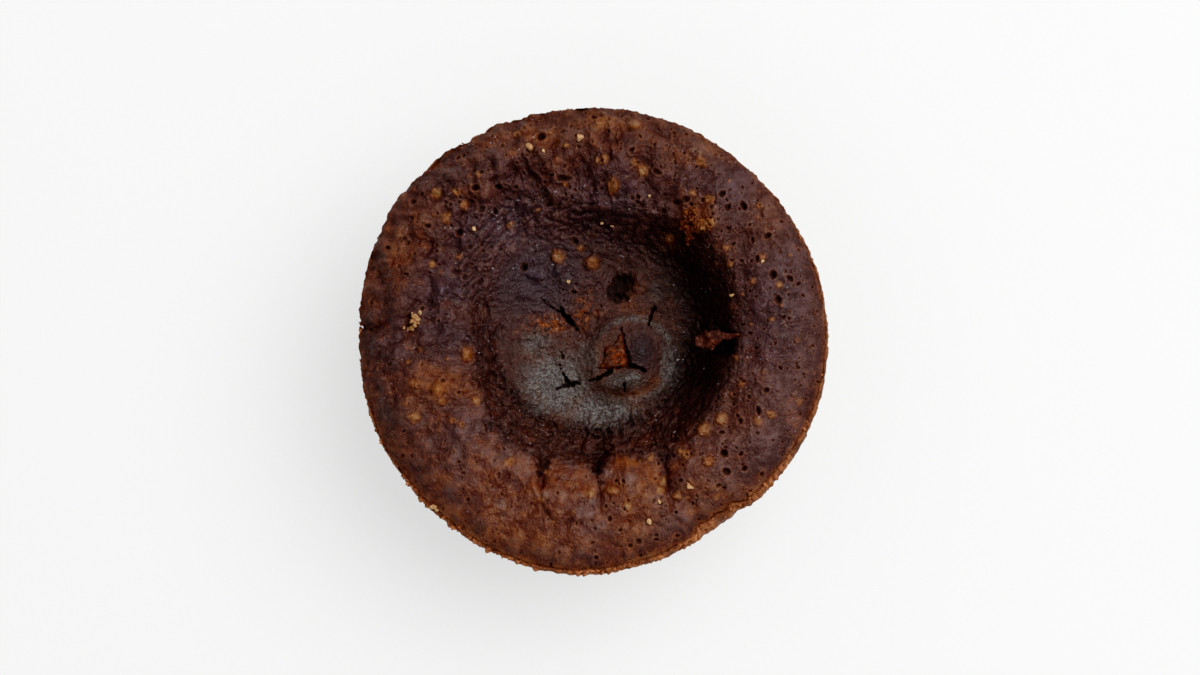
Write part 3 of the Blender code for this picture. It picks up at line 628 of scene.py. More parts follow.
def crust_surface(x, y):
    """Height of the crust with its fine relief, and the marks from 0 to 1 that its colours follow."""
    q, bearing = from_point(x, y, CRATER_CENTRE)
    turns = bearing / (2 * math.pi)
    foot, edge = round_the_ring(WALL_FOOT, bearing), round_the_ring(WALL_EDGE, bearing)
    up_wall = (q - foot) / (edge - foot)
    floor = 1.0 - ramp(up_wall, *FLOOR_END)
    in_lobe = patches(*bent(x, y, *LOBE_BEND), LOBES)
    furrow = furrow_depth(x, y)
    ragged = RIM_RAGGEDNESS * in_plane(rough_hills, x, y, *RAGGED_RIM_NOISE)
    rim = ramp(up_wall + 0.55 * in_lobe - 0.28 * furrow + ragged, *RIM_START)
    wall = (1.0 - floor) * (1.0 - rim)

    # Relief of the rim: slow swells, knobs and crumb, with calmer places
    warp_x, warp_y = bent(x, y, *CRUMB_BEND)
    bent_x, bent_y = bent(x, y, *BLISTER_BEND)
    rough = round_the_ring(ROUGHNESS, bearing)
    swell = in_plane(rough_hills, warp_x, warp_y, *SWELL_NOISE)
    crumb = 0.80 * in_plane(knobs, warp_x, warp_y, *KNOBS)
    crumb += 0.24 * in_plane(knobs, warp_x, warp_y, *SMALL_KNOBS)
    crumb += 0.17 * (1.0 + in_plane(rough_hills, warp_x, warp_y, *CRUMB_NOISE))
    calm = 0.55 + 0.65 * ramp(in_plane(rough_hills, x, y, *CALM_NOISE), -0.45, 0.45)
    detail = rim * (0.95 * rough * swell + calm * (0.48 + 0.80 * rough) * crumb - 0.10)

    # Ribs at the rim's inner edge, then folds and flakes on the wall, and a leathery floor
    outwards = q + warp_x - x
    ribs = round_ring(rough_hills, turns, outwards, *RIB_NOISE, sway=0.25 * swell)
    detail += 0.55 * round_the_ring(RIB_HEIGHT, bearing) * bell(up_wall, *RIB_BELT) * ribs
    folds = round_ring(rough_hills, turns, q + 1.2 * swell, *FOLD_NOISE)
    flakes = round_ring(puffs, turns, outwards, *FLAKE_NOISE, sway=0.2 * swell)
    detail += wall * round_the_ring(FOLD_HEIGHT, bearing) * (0.70 * folds + flakes + 0.80 * crumb)
    uneven = floor * round_the_ring(FLOOR_UNEVENNESS, bearing)
    leather = in_plane(rough_hills, warp_x, warp_y, *LEATHER_NOISE)
    detail += floor * (0.10 * leather + 0.16 * crumb) + uneven * (0.90 * crumb + 0.30 * swell)
    on_dome = plateau(oval(x, y, *DOME))
    detail *= 1.0 - 0.85 * on_dome

    # The burst bubble, with crumb in it, and the skin's own low forms
    bubble_edge = 0.10 * swell + 0.24 * in_plane(rough_hills, x, y, *BUBBLE_NOISE)
    in_bubble = 1.0 - ramp(oval(bent_x, bent_y, *BURST_BUBBLE) + bubble_edge, *BUBBLE_EDGE)
    bubble_crumb = in_plane(knobs, x, y, *BUBBLE_KNOBS)
    detail += in_bubble * (0.9 * bubble_crumb - BUBBLE_DEPTH) + raised(x, y, SKIN_FORMS)
    # The relief that the colours follow: its low places, the furrows most, get painted shade
    relief = rim * crumb + wall * (0.7 * flakes + 0.3 * crumb) + floor * (0.35 + 0.12 * leather + 0.5 * crumb)
    relief -= 0.70 * ramp(furrow, 0.18, 1.15)
    base = top_height(x, y)
    height = base + detail + LOBE_HEIGHT * in_lobe
    height -= 0.5 * np.clip(height - HIGHEST_CRUST, 0.0, None)

    # The low ring round the split, and its groove
    from_ring = from_point(x, y, RING_CENTRE)[0]
    from_groove, groove_way = from_point(x, y, GROOVE_CENTRE)
    low_side = ramp(np.cos(groove_way - math.radians(GROOVE_BEARING)), 0.35, 0.85)
    in_groove = bell(from_groove, GROOVE_REACH, GROOVE_WIDTH) * low_side
    height += RING_HEIGHT * bell(from_ring, RING_REACH, RING_WIDTH) * (1.0 - 0.5 * low_side)
    height -= GROOVE_DEPTH * in_groove

    # Blisters are half balls with a crease round them, and pores are wells with a raised, thinned collar;
    # painted shade darkens the creases, the wells and the burst bubble
    pit = in_bubble * np.clip(1.15 - 0.8 * bubble_crumb, 0.0, 1.0)
    ochre, warmed = np.zeros_like(x), np.zeros_like(x)
    for blister_x, blister_y, half_length, half_width, strength in blister_list():
        at = nearby(x, y, blister_x, blister_y, 2.2 * half_length)
        away = oval(bent_x[at], bent_y[at], blister_x, blister_y, half_length, half_width)
        crease = bell(away, 1.12, 0.22)
        height[at] += half_length * (0.32 * np.sqrt(np.clip(1.0 - away ** 2, 0.0, 1.0)) - 0.12 * crease)
        ochre[at] = np.maximum(ochre[at], strength * bell(away, 0.0, 0.95))
        pit[at] = np.maximum(pit[at], 0.20 * strength * crease)
    for pore_x, pore_y, radius, squash, turn in pore_list():
        at = nearby(x, y, pore_x, pore_y, 3.0 * radius)
        away = oval(x[at], y[at], pore_x, pore_y, radius, radius * squash, turn)
        well, collar = plateau(away), bell(away, 1.45, 0.35)
        height[at] += 0.32 * radius * collar - 1.15 * radius * well
        relief[at] += 0.50 * collar
        warmed[at] = np.maximum(warmed[at], 0.45 * bell(away, 1.05, 0.35))
        pit[at] = np.maximum(pit[at], 0.88 * well)

    # Cracks and the well under the split cut down from the smooth top, both with ragged edges; painted shade
    # darkens the cracks
    jitter = CRACK_RAGGEDNESS * in_plane(rough_hills, x, y, *CRACK_NOISE)
    for share, depth in open_courses(x, y, CRACKS, jitter, lambda off: 1.0 - ramp(off, 0.3, 1.3)):
        height += share * (base - depth - height)
        pit = np.maximum(pit, share * np.clip(0.35 + 0.6 * depth, 0.0, 1.0))
    in_well = ramp(inside_triangle(x, y, PIT_CORNERS) + 1.2 * jitter, 0.0, PIT_WALL)
    height += in_well * (pit_floor() - height)

    # Where the colours change: the worn top edge, thin crust, bloom with painted sheen, painted floor sheen,
    # painted shade and painted glints
    past_edge = np.hypot(x, y) - top_edge_radius(np.arctan2(y, x))
    at_edge = ramp(past_edge, -3.5, -0.6)
    worn = ramp(past_edge, -0.7, -0.1) * round_the_ring(TORN_LIP, np.arctan2(y, x))
    thin = functools.reduce(np.maximum, (patches(x, y, THIN_PATCHES), warmed, worn, 0.4 * in_groove))
    bloom = rim * round_the_ring(BLOOM_AND_SHEEN, bearing) + wall * np.clip(1.1 * flakes - 0.2, 0.0, 1.0)
    ring_sheen = SHEEN_RING_STRENGTH * bell(from_ring, SHEEN_RING_REACH, SHEEN_RING_WIDTH)
    sheen = (1.0 - ramp(up_wall, *SHEEN_END)) * np.maximum(patches(x, y, SHEEN_PATCHES), ring_sheen)
    shaded = (1.0 - floor) * ramp(np.cos(bearing - math.radians(SHADED_BEARING)), 0.35, 0.95)
    shaded *= 1.0 - ramp(up_wall, 0.35, 1.15)
    shade = functools.reduce(np.maximum, (0.85 * shaded, 0.5 * in_bubble, patches(x, y, DEEP_PATCHES)))
    glint = round_the_ring(GLINTS, bearing) + 0.4 * wall - 0.6 * floor * (1.0 - uneven)
    return height, {
        "edge": at_edge,
        "relief": relief,
        "pit": np.maximum(pit, 0.20 * in_well),
        "ochre": ochre,
        "thin": thin,
        "wet": np.maximum(patches(x, y, WET_PATCHES), 0.8 * in_well),
        "warm": rim * round_the_ring(WARMTH, bearing),
        "bloom": bloom * (1.0 - at_edge),
        "glint": np.clip(glint, 0.0, 1.0),
        "dark": wall * round_the_ring(WALL_DARKNESS, bearing),
        "sheen": np.maximum(FLOOR_SHEEN * floor, sheen * (1.0 - 0.6 * on_dome)),
        "purple": patches(x, y, PURPLE_PATCHES),
        "shade": shade,
    }


def disc_net(count):
    """A square net pulled round into a unit disc, each square ring of points becoming a circle."""
    line = np.linspace(-1.0, 1.0, count)
    u, v = (side.ravel() for side in np.meshgrid(line, line))
    wide = np.abs(u) > np.abs(v)
    safe_u = np.where(wide, u, 1.0)
    safe_v = np.where(wide | (v == 0), 1.0, v)
    radius = np.where(wide, u, v)
    bearing = np.where(wide, math.pi / 4 * v / safe_u, math.pi / 2 - math.pi / 4 * u / safe_v)
    return radius * np.cos(bearing), radius * np.sin(bearing)


def net_border(count):
    """Indices of the net's outer points, in order, counter-clockwise."""
    last = count - 1
    side = np.arange(last)
    return np.concatenate([side, side * count + last, last * count + last - side, (last - side) * count])


def net_quads(count):
    """Corner indices of the net's squares, facing up."""
    row, column = np.divmod(np.arange((count - 1) ** 2), count - 1)
    corner = row * count + column
    return np.column_stack([corner, corner + 1, corner + count + 1, corner + count])


def ring_points(radius, bearing, height):
    """Points at radii and bearings from the middle, at heights or all at one height."""
    return np.column_stack([radius * np.cos(bearing), radius * np.sin(bearing), height + 0.0 * radius])


def bands(rings):
    """Squares between closed rings of points, each ring and the next, facing up where the next is wider."""
    pairs = zip(rings, rings[1:])
    return np.concatenate([
        np.column_stack([inner, outer, np.roll(outer, -1), np.roll(inner, -1)]) for inner, outer in pairs
    ])


def fan(ring, middle):
    """Triangles from a closed ring to its middle point, facing down."""
    return np.column_stack([ring, np.full(len(ring), middle), np.roll(ring, -1)])


def build_piece(name, points, groups, marks, material, crease=None):
    """A smooth mesh object from points in millimetres and groups of faces, with marks, 0 past their ends."""
    faces = [face for group in groups for face in group.tolist()]
    mesh = bpy.data.meshes.new(name)
    mesh.from_pydata(((points - MIDDLE) * MM).tolist(), [], faces)
    mesh.polygons.foreach_set("use_smooth", np.ones(len(faces), dtype=bool))
    for mark, values in marks.items():
        values = np.pad(values, (0, len(points) - len(values))).astype(np.float32)
        mesh.attributes.new(mark, "FLOAT", "POINT").data.foreach_set("value", values)
    if crease is not None:
        ends = np.empty(2 * len(mesh.edges), dtype=np.int32)
        mesh.edges.foreach_get("vertices", ends)
        sharp = np.isin(ends, crease).reshape(-1, 2).all(axis=1)
        mesh.attributes.new("sharp_edge", "BOOLEAN", "EDGE").data.foreach_set("value", sharp)
    mesh.update()
    mesh.materials.append(material)
    made = add_object(name, mesh)
    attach(made, "root")
    return made


def wire(tree, kind, inputs, **settings):
    """Adds a node with its settings, and sets or links each input."""
    node = tree.nodes.new(kind)
    for name, value in settings.items():
        setattr(node, name, value)
    for name, value in inputs.items():
        if isinstance(value, bpy.types.NodeSocket):
            tree.links.new(value, node.inputs[name])
        else:
            node.inputs[name].default_value = value
    return node


def calculate(operation, first, second, clamp=False):
    """A Math node's result, in the tree of the value that is linked to it."""
    tree = (first if isinstance(first, bpy.types.NodeSocket) else second).id_data
    node = wire(tree, "ShaderNodeMath", {0: first, 1: second}, operation=operation, use_clamp=clamp)
    return node.outputs[0]


# Sums, differences, products and the larger of two shader values
kinds = ("ADD", "SUBTRACT", "MULTIPLY", "MAXIMUM")
add, less, times, larger = (functools.partial(calculate, kind) for kind in kinds)


def stretch(value, low, high, to_low=0.0, to_high=1.0):
    """Maps a range of values to another with a smooth step."""
    inputs = {"Value": value, "From Min": low, "From Max": high, "To Min": to_low, "To Max": to_high}
    node = wire(value.id_data, "ShaderNodeMapRange", inputs, interpolation_type="SMOOTHSTEP")
    return node.outputs["Result"]


def spread(value, share):
    """A noise value's share of the way above or below its middle."""
    return times(less(value, 0.5), share)


def blend(share, first, second, kind="MIX"):
    """Mixes two colours by a share."""
    inputs = {0: share, 6: first, 7: second}
    return wire(share.id_data, "ShaderNodeMix", inputs, data_type="RGBA", blend_type=kind).outputs[2]


def noise_value(place, scale, detail, roughness=0.55):
    """A noise value about 0.5, with lumps of one over the scale."""
    inputs = {"Vector": place, "Scale": scale, "Detail": detail, "Roughness": roughness}
    return wire(place.id_data, "ShaderNodeTexNoise", inputs).outputs["Fac"]


def crumb_grain_group():
    """Fine crumb: value noise at three scales for the colours, and noise plus cell domes for the relief."""
    tree = bpy.data.node_groups.new("crumb_grain", "ShaderNodeTree")
    tree.interface.new_socket("Fineness", in_out="INPUT", socket_type="NodeSocketFloat").default_value = 1.0
    for name in ("Patch", "Mottle", "Speck", "Height"):
        tree.interface.new_socket(name, in_out="OUTPUT", socket_type="NodeSocketFloat")
    place = wire(tree, "ShaderNodeTexCoord", {}).outputs["Object"]
    fineness = times(tree.nodes.new("NodeGroupInput").outputs["Fineness"], 1 / MM)
    place = wire(tree, "ShaderNodeVectorMath", {0: place, "Scale": fineness}, operation="SCALE").outputs[0]
    patch = noise_value(place, 0.30, 4.0)
    mottle = noise_value(place, 1.1, 4.0, 0.65)
    speck = noise_value(place, 5.0, 2.0, 0.6)
    cell_inputs = {"Vector": place, "Scale": 2.2, "Smoothness": 0.6}
    cell = wire(tree, "ShaderNodeTexVoronoi", cell_inputs, feature="SMOOTH_F1").outputs["Distance"]
    height = add(add(times(mottle, 1.6), times(speck, 0.55)), times(less(1.0, cell), 0.7))
    wire(tree, "NodeGroupOutput", {"Patch": patch, "Mottle": mottle, "Speck": speck, "Height": height})
    return tree


def start_material(name, grain_depth, mark_names, fineness=1.0):
    """A new material with the crumb grain in it: the material, its noise values, its bump and its marks."""
    material = bpy.data.materials.new(name)
    material.use_nodes = True
    tree = material.node_tree
    grain = wire(tree, "ShaderNodeGroup", {}, node_tree=crumb_grain)
    grain.inputs["Fineness"].default_value = fineness
    patch, mottle, speck, height = grain.outputs
    bump = {"Height": height, "Distance": grain_depth, "Strength": 1.0}
    normal = wire(tree, "ShaderNodeBump", bump).outputs["Normal"]
    marks = [wire(tree, "ShaderNodeAttribute", {}, attribute_name=mark).outputs["Fac"] for mark in mark_names]
    return material, (patch, mottle, speck), normal, dict(zip(mark_names, marks))


def finish_material(material, color, roughness, normal, specular):
    """Sets up a material's Principled surface, and gives it back."""
    shader = material.node_tree.nodes["Principled BSDF"]
    for name, value in (("Base Color", color), ("Roughness", roughness), ("Normal", normal)):
        material.node_tree.links.new(value, shader.inputs[name])
    shader.inputs["Specular IOR Level"].default_value = specular
    return shader


def crust_material():
    """Baked cocoa crust: painted shade in its hollows, brown skin with a painted sky reflection, orange-brown
    and ochre where it is thin, moist patches, painted sheen and glints.
    """
    names = "relief pit ochre thin wet warm bloom glint dark sheen purple shade edge".split()
    material, (patch, mottle, speck), normal, mark = start_material("cocoa_crust", CRUST_GRAIN_DEPTH, names)
    uneven = add(spread(mottle, 1.3), spread(speck, 0.9))

    # The skin: brown, or purple where a sky reflection is painted, with grey bloom that is partly painted
    # sheen, warmer and orange where it is thin, dark on the floor
    skin = blend(mark["purple"], SKIN_BROWN, PURPLE_SKY_REFLECTION)
    bloom = add(spread(patch, -1.6), times(uneven, -0.5))
    skin = blend(times(mark["bloom"], add(0.75, bloom, True), True), skin, BLOOM_AND_SHEEN_GREY)
    warm = add(mark["warm"], add(spread(patch, 3.2), uneven))
    warm = less(warm, times(mark["purple"], 0.80), True)
    skin = blend(times(warm, 0.85), skin, WARM_BROWN)
    skin = blend(times(mark["thin"], add(0.65, uneven, True), True), skin, THIN_ORANGE)
    skin = blend(times(mark["sheen"], 0.82), skin, FLOOR_BROWN)
    # Painted shade, darker in the hollows of the relief
    tone = add(times(mark["relief"], 1.2), times(uneven, 0.6))
    color = blend(stretch(tone, -0.05, 0.85, 1.0, 0.0), skin, HOLLOW_TINT, "MULTIPLY")

    # Painted sheen on the floor, a grainy grey veil, and the darker wall, partly painted shade
    fleck = noise_value(wire(patch.id_data, "ShaderNodeTexCoord", {}).outputs["Object"], 2600.0, 1.0, 0.5)
    grit = add(0.40, add(spread(speck, 2.2), spread(fleck, 1.2)), True)
    painted_sheen = times(stretch(mark["sheen"], 0.52, 0.95), grit)
    color = blend(times(painted_sheen, 0.58), color, PAINTED_SHEEN_GREY)
    color = blend(mark["dark"], color, WALL_TINT, "MULTIPLY")

    # Ochre blisters and specks, wet crumb, painted shade in the deep pockets and open holes, and painted
    # glints
    ochre = times(mark["ochre"], add(0.95, times(uneven, 1.1)))
    dots = times(stretch(mottle, 0.63, 0.75), less(1.0, mark["sheen"], True))
    ochre = larger(ochre, times(dots, 0.55))
    color = blend(stretch(ochre, 0.05, 0.70, 0.0, 0.65), color, THIN_ORANGE)
    color = blend(stretch(ochre, 0.45, 1.15, 0.0, 0.82), color, OCHRE)
    color = blend(times(mark["wet"], 0.7), color, HOLLOW_TINT, "MULTIPLY")
    color = blend(times(mark["wet"], add(0.24, times(uneven, 3.2), True)), color, WET_ORANGE)
    color = blend(times(mark["shade"], less(0.78, uneven), True), color, SHADE_BLACK)
    color = blend(times(mark["pit"], 0.78), color, SHADE_BLACK)
    glint = times(times(stretch(fleck, 0.69, 0.76), mark["glint"]), stretch(patch, 0.47, 0.60, 0.15, 1.0))
    glint = times(glint, less(1.0, mark["pit"]))
    color = blend(glint, color, GLINT_PALE)

    # Dull where it is dry, open or worn; a thin dry sheen on the floor, and a moist film where the sky
    # reflection is painted
    dry = less(less(0.42, times(uneven, 0.40)), times(glint, 0.25))
    dry = add(add(dry, times(mark["pit"], 0.4)), times(mark["edge"], 0.3), True)
    shader = finish_material(material, color, dry, normal, CRUST_SPECULAR)
    gloss = times(stretch(mark["sheen"], 0.48, 0.95), grit)
    film = times(mark["bloom"], add(0.10, uneven, True))
    moist = times(times(mark["purple"], add(0.05, uneven, True)), less(1.0, mark["edge"]))
    film = larger(film, times(moist, 0.8))
    material.node_tree.links.new(larger(gloss, film), shader.inputs["Coat Weight"])
    shader.inputs["Coat Roughness"].default_value = COAT_ROUGHNESS
    shader.inputs["Coat IOR"].default_value = 1.5
    return material


def seam_reach(bearing):
    """Distance from the crater's centre to the line where the sunken crust meets the rim's."""
    return SEAM_REACH * round_the_ring(WALL_EDGE, bearing)


MIDDLE = outline_middle()
crumb_grain = crumb_grain_group()
cocoa_crust = crust_material()
net_x, net_y = disc_net(CRATER_NET)
crater_reach = seam_reach(np.arctan2(net_y, net_x))
crater_x = CRATER_CENTRE[0] + net_x * crater_reach
crater_y = CRATER_CENTRE[1] + net_y * crater_reach
crater_z, crater_marks = crust_surface(crater_x, crater_y)
seam = net_border(CRATER_NET)
crater_points = [np.column_stack([crater_x, crater_y, crater_z])]
for scale, ring_z in ((LEDGE_SCALE, crater_z[seam] - LEDGE_DROP), (PLUG_SCALE, PLUG_FLOOR)):
    ring_x = CRATER_CENTRE[0] + (crater_x[seam] - CRATER_CENTRE[0]) * scale
    ring_y = CRATER_CENTRE[1] + (crater_y[seam] - CRATER_CENTRE[1]) * scale
    crater_points.append(np.column_stack([ring_x, ring_y, ring_z + 0.0 * ring_x]))
crater_points = np.concatenate([*crater_points, [[*CRATER_CENTRE, PLUG_FLOOR]]])
crater_rings = [seam, *(CRATER_NET ** 2 + np.arange(2 * len(seam)).reshape(2, -1))]
crater_crust = build_piece(
    "crater_crust",
    crater_points,
    [net_quads(CRATER_NET), bands(crater_rings), fan(crater_rings[-1], len(crater_points) - 1)],
    crater_marks,
    cocoa_crust,
    seam,
)
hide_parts("cake_body")

# Rim crust
# The puffed ring round the sunken centre, the part of the top crust that kept its rise. It is drier and
# more open than the centre: burst bubbles leave pores, and closed ones stand up as thin ochre blisters.
RIM_ROWS = 76
EDGE_WEAR = 0.26
# Noise of the worn edge round the ring, as for the ribs: five-millimetre waves, then small teeth
EDGE_WAVES = (46, 1.0, 66, 4)
EDGE_TEETH = (210, 1.0, 70, 2)
EDGE_TUCK = 0.45
EDGE_TUCK_DROP = 1.3
# Underside: distance in from the edge, and height
RIM_UNDERSIDE = ((3.0, 20.0), (4.5, 14.0))
RIM_BASE = 14.0


def worn_edge(bearing):
    """How far the top edge is worn back: the notch, and noise from five-millimetre waves to small teeth."""
    turns = bearing / (2 * math.pi)
    waves, teeth = (round_ring(rough_hills, turns, 0.0 * turns, *kind) for kind in (EDGE_WAVES, EDGE_TEETH))
    wear = EDGE_WEAR * (0.15 + 0.85 * round_the_ring(ROUGHNESS, bearing))
    return notch(bearing) + wear * (waves + 0.6 * teeth)


seam_x, seam_y = crater_x[seam], crater_y[seam]
seam_bearing = np.arctan2(seam_y, seam_x)
edge_radius = top_edge_radius(seam_bearing) - worn_edge(seam_bearing)
row_share = np.linspace(0.0, 1.0, RIM_ROWS)[:, None]
rim_x = (seam_x + row_share * (edge_radius * np.cos(seam_bearing) - seam_x)).ravel()
rim_y = (seam_y + row_share * (edge_radius * np.sin(seam_bearing) - seam_y)).ravel()
rim_z, rim_marks = crust_surface(rim_x, rim_y)
rim_points = np.concatenate([
    np.column_stack([rim_x, rim_y, rim_z]),
    ring_points(edge_radius - EDGE_TUCK, seam_bearing, rim_z[-len(seam):] - EDGE_TUCK_DROP),
    *(ring_points(edge_radius - inward, seam_bearing, level) for inward, level in RIM_UNDERSIDE),
    np.column_stack([seam_x, seam_y, np.full(len(seam), RIM_BASE)]),
])
rim_rings = np.arange(len(rim_points)).reshape(-1, len(seam))
rim_faces = [bands([*rim_rings, rim_rings[0]])]
rim_crust = build_piece("rim_crust", rim_points, rim_faces, rim_marks, cocoa_crust, rim_rings[0])
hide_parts("cake_body")

# Side crust
# The wall that baked against the greased mould: drier and more even than the top, orange-brown, with
# small air holes and faint streaks where it slid out. Its upper edge stands out as a torn lip.
SIDE_COLUMNS = 1000
SIDE_ROWS = 82
LIP_ROWS = 16
# Rings of the lip, then down the side: share of the top edge's height, share of the overhang, distance in
LIP_RINGS = ((0.955, 0, 0.6), (0.985, 0.35, 0), (0.972, 0.8, 0))
SIDE_RINGS = (
    (0.9, 1, 0), (0.78, 0.8, 0.05), (0.54, 0.5, 0.8), (0.29, 0.3, 1.6), (0.087, 0.2, 2.3),
    (0.022, 0.1, 3), (0, 0, 4.2),
)
FULL_LIP = 0.6
CUP_FLOOR = 12.0
CUP_WALL = 6.0
# Noise round the side, as for the ribs: streaks, soft lumps, crumb, and two for the torn lip
STREAK_NOISE = (150, 14.0, 67, 2)
SOFT_NOISE = (34, 6.0, 68, 3)
SIDE_CRUMB_NOISE = (130, 1.8, 69, 3)
RAGGED_NOISE = (190, 1.2, 65, 3)
TORN_NOISE = (70, 3.0, 79, 3)
SIDE_PORE_SEED = 64
SIDE_PORE_COUNT = 900
SIDE_PORE_HEIGHTS = (1.0, 25.5)
SMALLEST_SIDE_PORE = 0.16
SIDE_PORE_SPREAD = 0.5
SIDE_PORE_SQUASH = (0.6, 1.0)
# The side's dark is painted shade in its hollows and air holes, and the dark of its mottle
SIDE_DARK = (0.03, 0.0075, 0.003, 1.0)
SIDE_BROWN = (0.074, 0.0245, 0.0125, 1.0)
SIDE_ORANGE = (0.13, 0.0455, 0.0195, 1.0)
TORN_ORANGE = (0.5, 0.175, 0.076, 1.0)
SIDE_GRAIN_DEPTH = 0.12e-3
SIDE_SPECULAR = 0.2
SIDE_MARKS = ("relief", "pit", "torn")


def tube(rings):
    """Faces of a closed tube: squares between its rings, and fans to the two end points that follow them."""
    return [bands(rings), fan(rings[0], rings.size)[:, ::-1], fan(rings[-1], rings.size + 1)]


def top_edge_height(bearing):
    """Height of the smooth top at its edge."""
    radius = top_edge_radius(bearing)
    return top_height(radius * np.cos(bearing), radius * np.sin(bearing))


def side_relief(bearing, height):
    """Outward relief of the side, with its marks: streaks, lumps, crumb cells and round air holes."""
    along = bearing * MEAN_RADIUS
    turns = bearing / (2 * math.pi)
    streaks = round_ring(rough_hills, turns, height, *STREAK_NOISE)
    soft = round_ring(rough_hills, turns, height, *SOFT_NOISE)
    crumb = round_ring(puffs, turns, height, *SIDE_CRUMB_NOISE)
    relief = 0.06 * streaks + 0.28 * soft + 0.30 * crumb - 0.10
    pit = np.zeros_like(height)
    draw = np.random.default_rng(SIDE_PORE_SEED)
    spots = np.column_stack([
        draw.uniform(-math.pi, math.pi, SIDE_PORE_COUNT) * MEAN_RADIUS,
        draw.uniform(*SIDE_PORE_HEIGHTS, SIDE_PORE_COUNT),
        SMALLEST_SIDE_PORE + SIDE_PORE_SPREAD * draw.beta(1.0, 3.2, SIDE_PORE_COUNT),
        draw.uniform(*SIDE_PORE_SQUASH, SIDE_PORE_COUNT),
        draw.uniform(0.0, 180.0, SIDE_PORE_COUNT),
    ])
    for spot_along, spot_height, radius, squash, turn in spots:
        at = nearby(along, height, spot_along, spot_height, 2.5 * radius)
        well = plateau(oval(along[at], height[at], spot_along, spot_height, radius, radius * squash, turn))
        relief[at] -= 1.1 * radius * well
        pit[at] = np.maximum(pit[at], well)
    return relief, pit


def side_material():
    """Mould-side crust: matte orange-brown crumb with painted shade in its hollows and holes, paler on the
    torn lip.
    """
    started = start_material("cocoa_side", SIDE_GRAIN_DEPTH, SIDE_MARKS)
    material, (patch, mottle, speck), normal, mark = started
    color = blend(stretch(add(times(mark["relief"], 0.5), mottle), 0.30, 1.05), SIDE_DARK, SIDE_BROWN)
    color = blend(add(spread(patch, 2.4), add(spread(mottle, 2.0), 0.35), True), color, SIDE_ORANGE)
    torn = add(spread(speck, 1.6), add(spread(mottle, 2.0), 0.70))
    color = blend(times(mark["torn"], torn, True), color, TORN_ORANGE)
    color = blend(times(mark["pit"], 0.85), color, SIDE_DARK)
    finish_material(material, color, stretch(mottle, 0.3, 0.7, 0.55, 0.75), normal, SIDE_SPECULAR)
    return material


cocoa_side = side_material()
side_bearing = np.linspace(-math.pi, math.pi, SIDE_COLUMNS, endpoint=False)
side_edge_z = top_edge_height(side_bearing)
side_lip = round_the_ring(LIP_OVERHANG, side_bearing)
side_outline = outline_radius(side_bearing)
ring_radii, ring_heights = [], []
for rings, size in ((LIP_RINGS, np.clip(side_lip / FULL_LIP, 0.0, 1.0)), (SIDE_RINGS, 1.0)):
    for height_share, lip_share, inward in rings:
        ring_heights.append((1.0 - (1.0 - height_share) * size) * side_edge_z)
        torn_back = chip(side_bearing, ring_heights[-1])
        ring_radii.append(side_outline - side_lip * (1.0 - lip_share) - inward * size - torn_back)
ring_places = [k + 0.0 * side_bearing for k in range(len(ring_radii))]
lip_end, side_end = len(LIP_RINGS), len(ring_radii) - 1
lip_place = np.linspace(0, lip_end, LIP_ROWS)
side_place = np.linspace(lip_end, side_end, SIDE_ROWS - LIP_ROWS + 1)[1:]
side_place = np.concatenate([lip_place, side_place])[:, None] + 0.0 * side_bearing
side_out = smooth_profile(side_place, ring_places, ring_radii).ravel()
side_z = smooth_profile(side_place, ring_places, ring_heights).ravel()
side_place = side_place.ravel()
side_around = np.tile(side_bearing, SIDE_ROWS)
side_turns = side_around / (2 * math.pi)
side_detail, side_pit = side_relief(side_around, side_z)

# The relief fades at both ends, and is calmer along the lip; the lip is torn most at the bottom left
inner_share = ramp(side_place, 0.0, 1.2) * (1.0 - ramp(side_place, side_end - 1.2, side_end))
ragged = round_ring(puffs, side_turns, side_z, *RAGGED_NOISE)
torn = round_the_ring(TORN_LIP, side_around) * (1.0 - ramp(side_place, 2.0, 4.2))
torn *= np.clip(0.75 + 0.9 * round_ring(rough_hills, side_turns, side_z, *TORN_NOISE), 0.0, 1.2)
calmer = 0.35 + 0.65 * np.maximum(ramp(side_place, 2.5, 6.0), np.minimum(torn, 1.0))
side_out += inner_share * calmer * (side_detail - 0.12)
side_out -= worn_edge(side_around) * (1.0 - ramp(side_place, 3.0, 7.0))
side_out += np.clip(torn, 0.0, 1.2) ** 1.6 * (0.75 * ragged - 0.45)
side_z = np.maximum(side_z + torn * 0.8 * (ragged - 0.5) * inner_share, 0.0)
# Holes in the torn lip, darkened with painted shade
lip_holes = ramp(side_place, 0.0, 0.5) * np.minimum(torn, 1.0) * ramp(-ragged, -0.42, -0.22)
side_marks = (np.clip(0.5 + 2.6 * side_detail, 0.0, 1.0), np.maximum(side_pit * inner_share, lip_holes), torn)
side_points = np.concatenate([
    ring_points(side_outline - CUP_WALL, side_bearing, CUP_FLOOR),
    ring_points(side_out, side_around, side_z),
    [[0.0, 0.0, CUP_FLOOR], [0.0, 0.0, 0.0]],
])
side_crust = build_piece(
    "side_crust",
    side_points,
    tube(np.arange(len(side_points) - 2).reshape(-1, SIDE_COLUMNS)),
    {name: np.pad(values, (SIDE_COLUMNS, 0)) for name, values in zip(SIDE_MARKS, side_marks)},
    cocoa_side,
)
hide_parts("cake_body")

# Torn shred
# A strip of crust that tore loose from the crater's right edge and dried where it hangs, out over the
# floor: thin, ragged along both sides and joined to the rim at its root.
SHRED_ROOT = (25.4, 0.6)
SHRED_TIP = (16.4, -0.1)
SHRED_HEIGHTS = (28.9, 26.6)
SHRED_HALF_WIDTHS = (0.5, 0.5, 0.4, 0.6, 1.3, 1.6, 1.5, 0.6)
SHRED_HALF_THICKNESS = 0.45
SHRED_SAG = 0.5
SHRED_STEPS = 90
SHRED_SIDES = 48

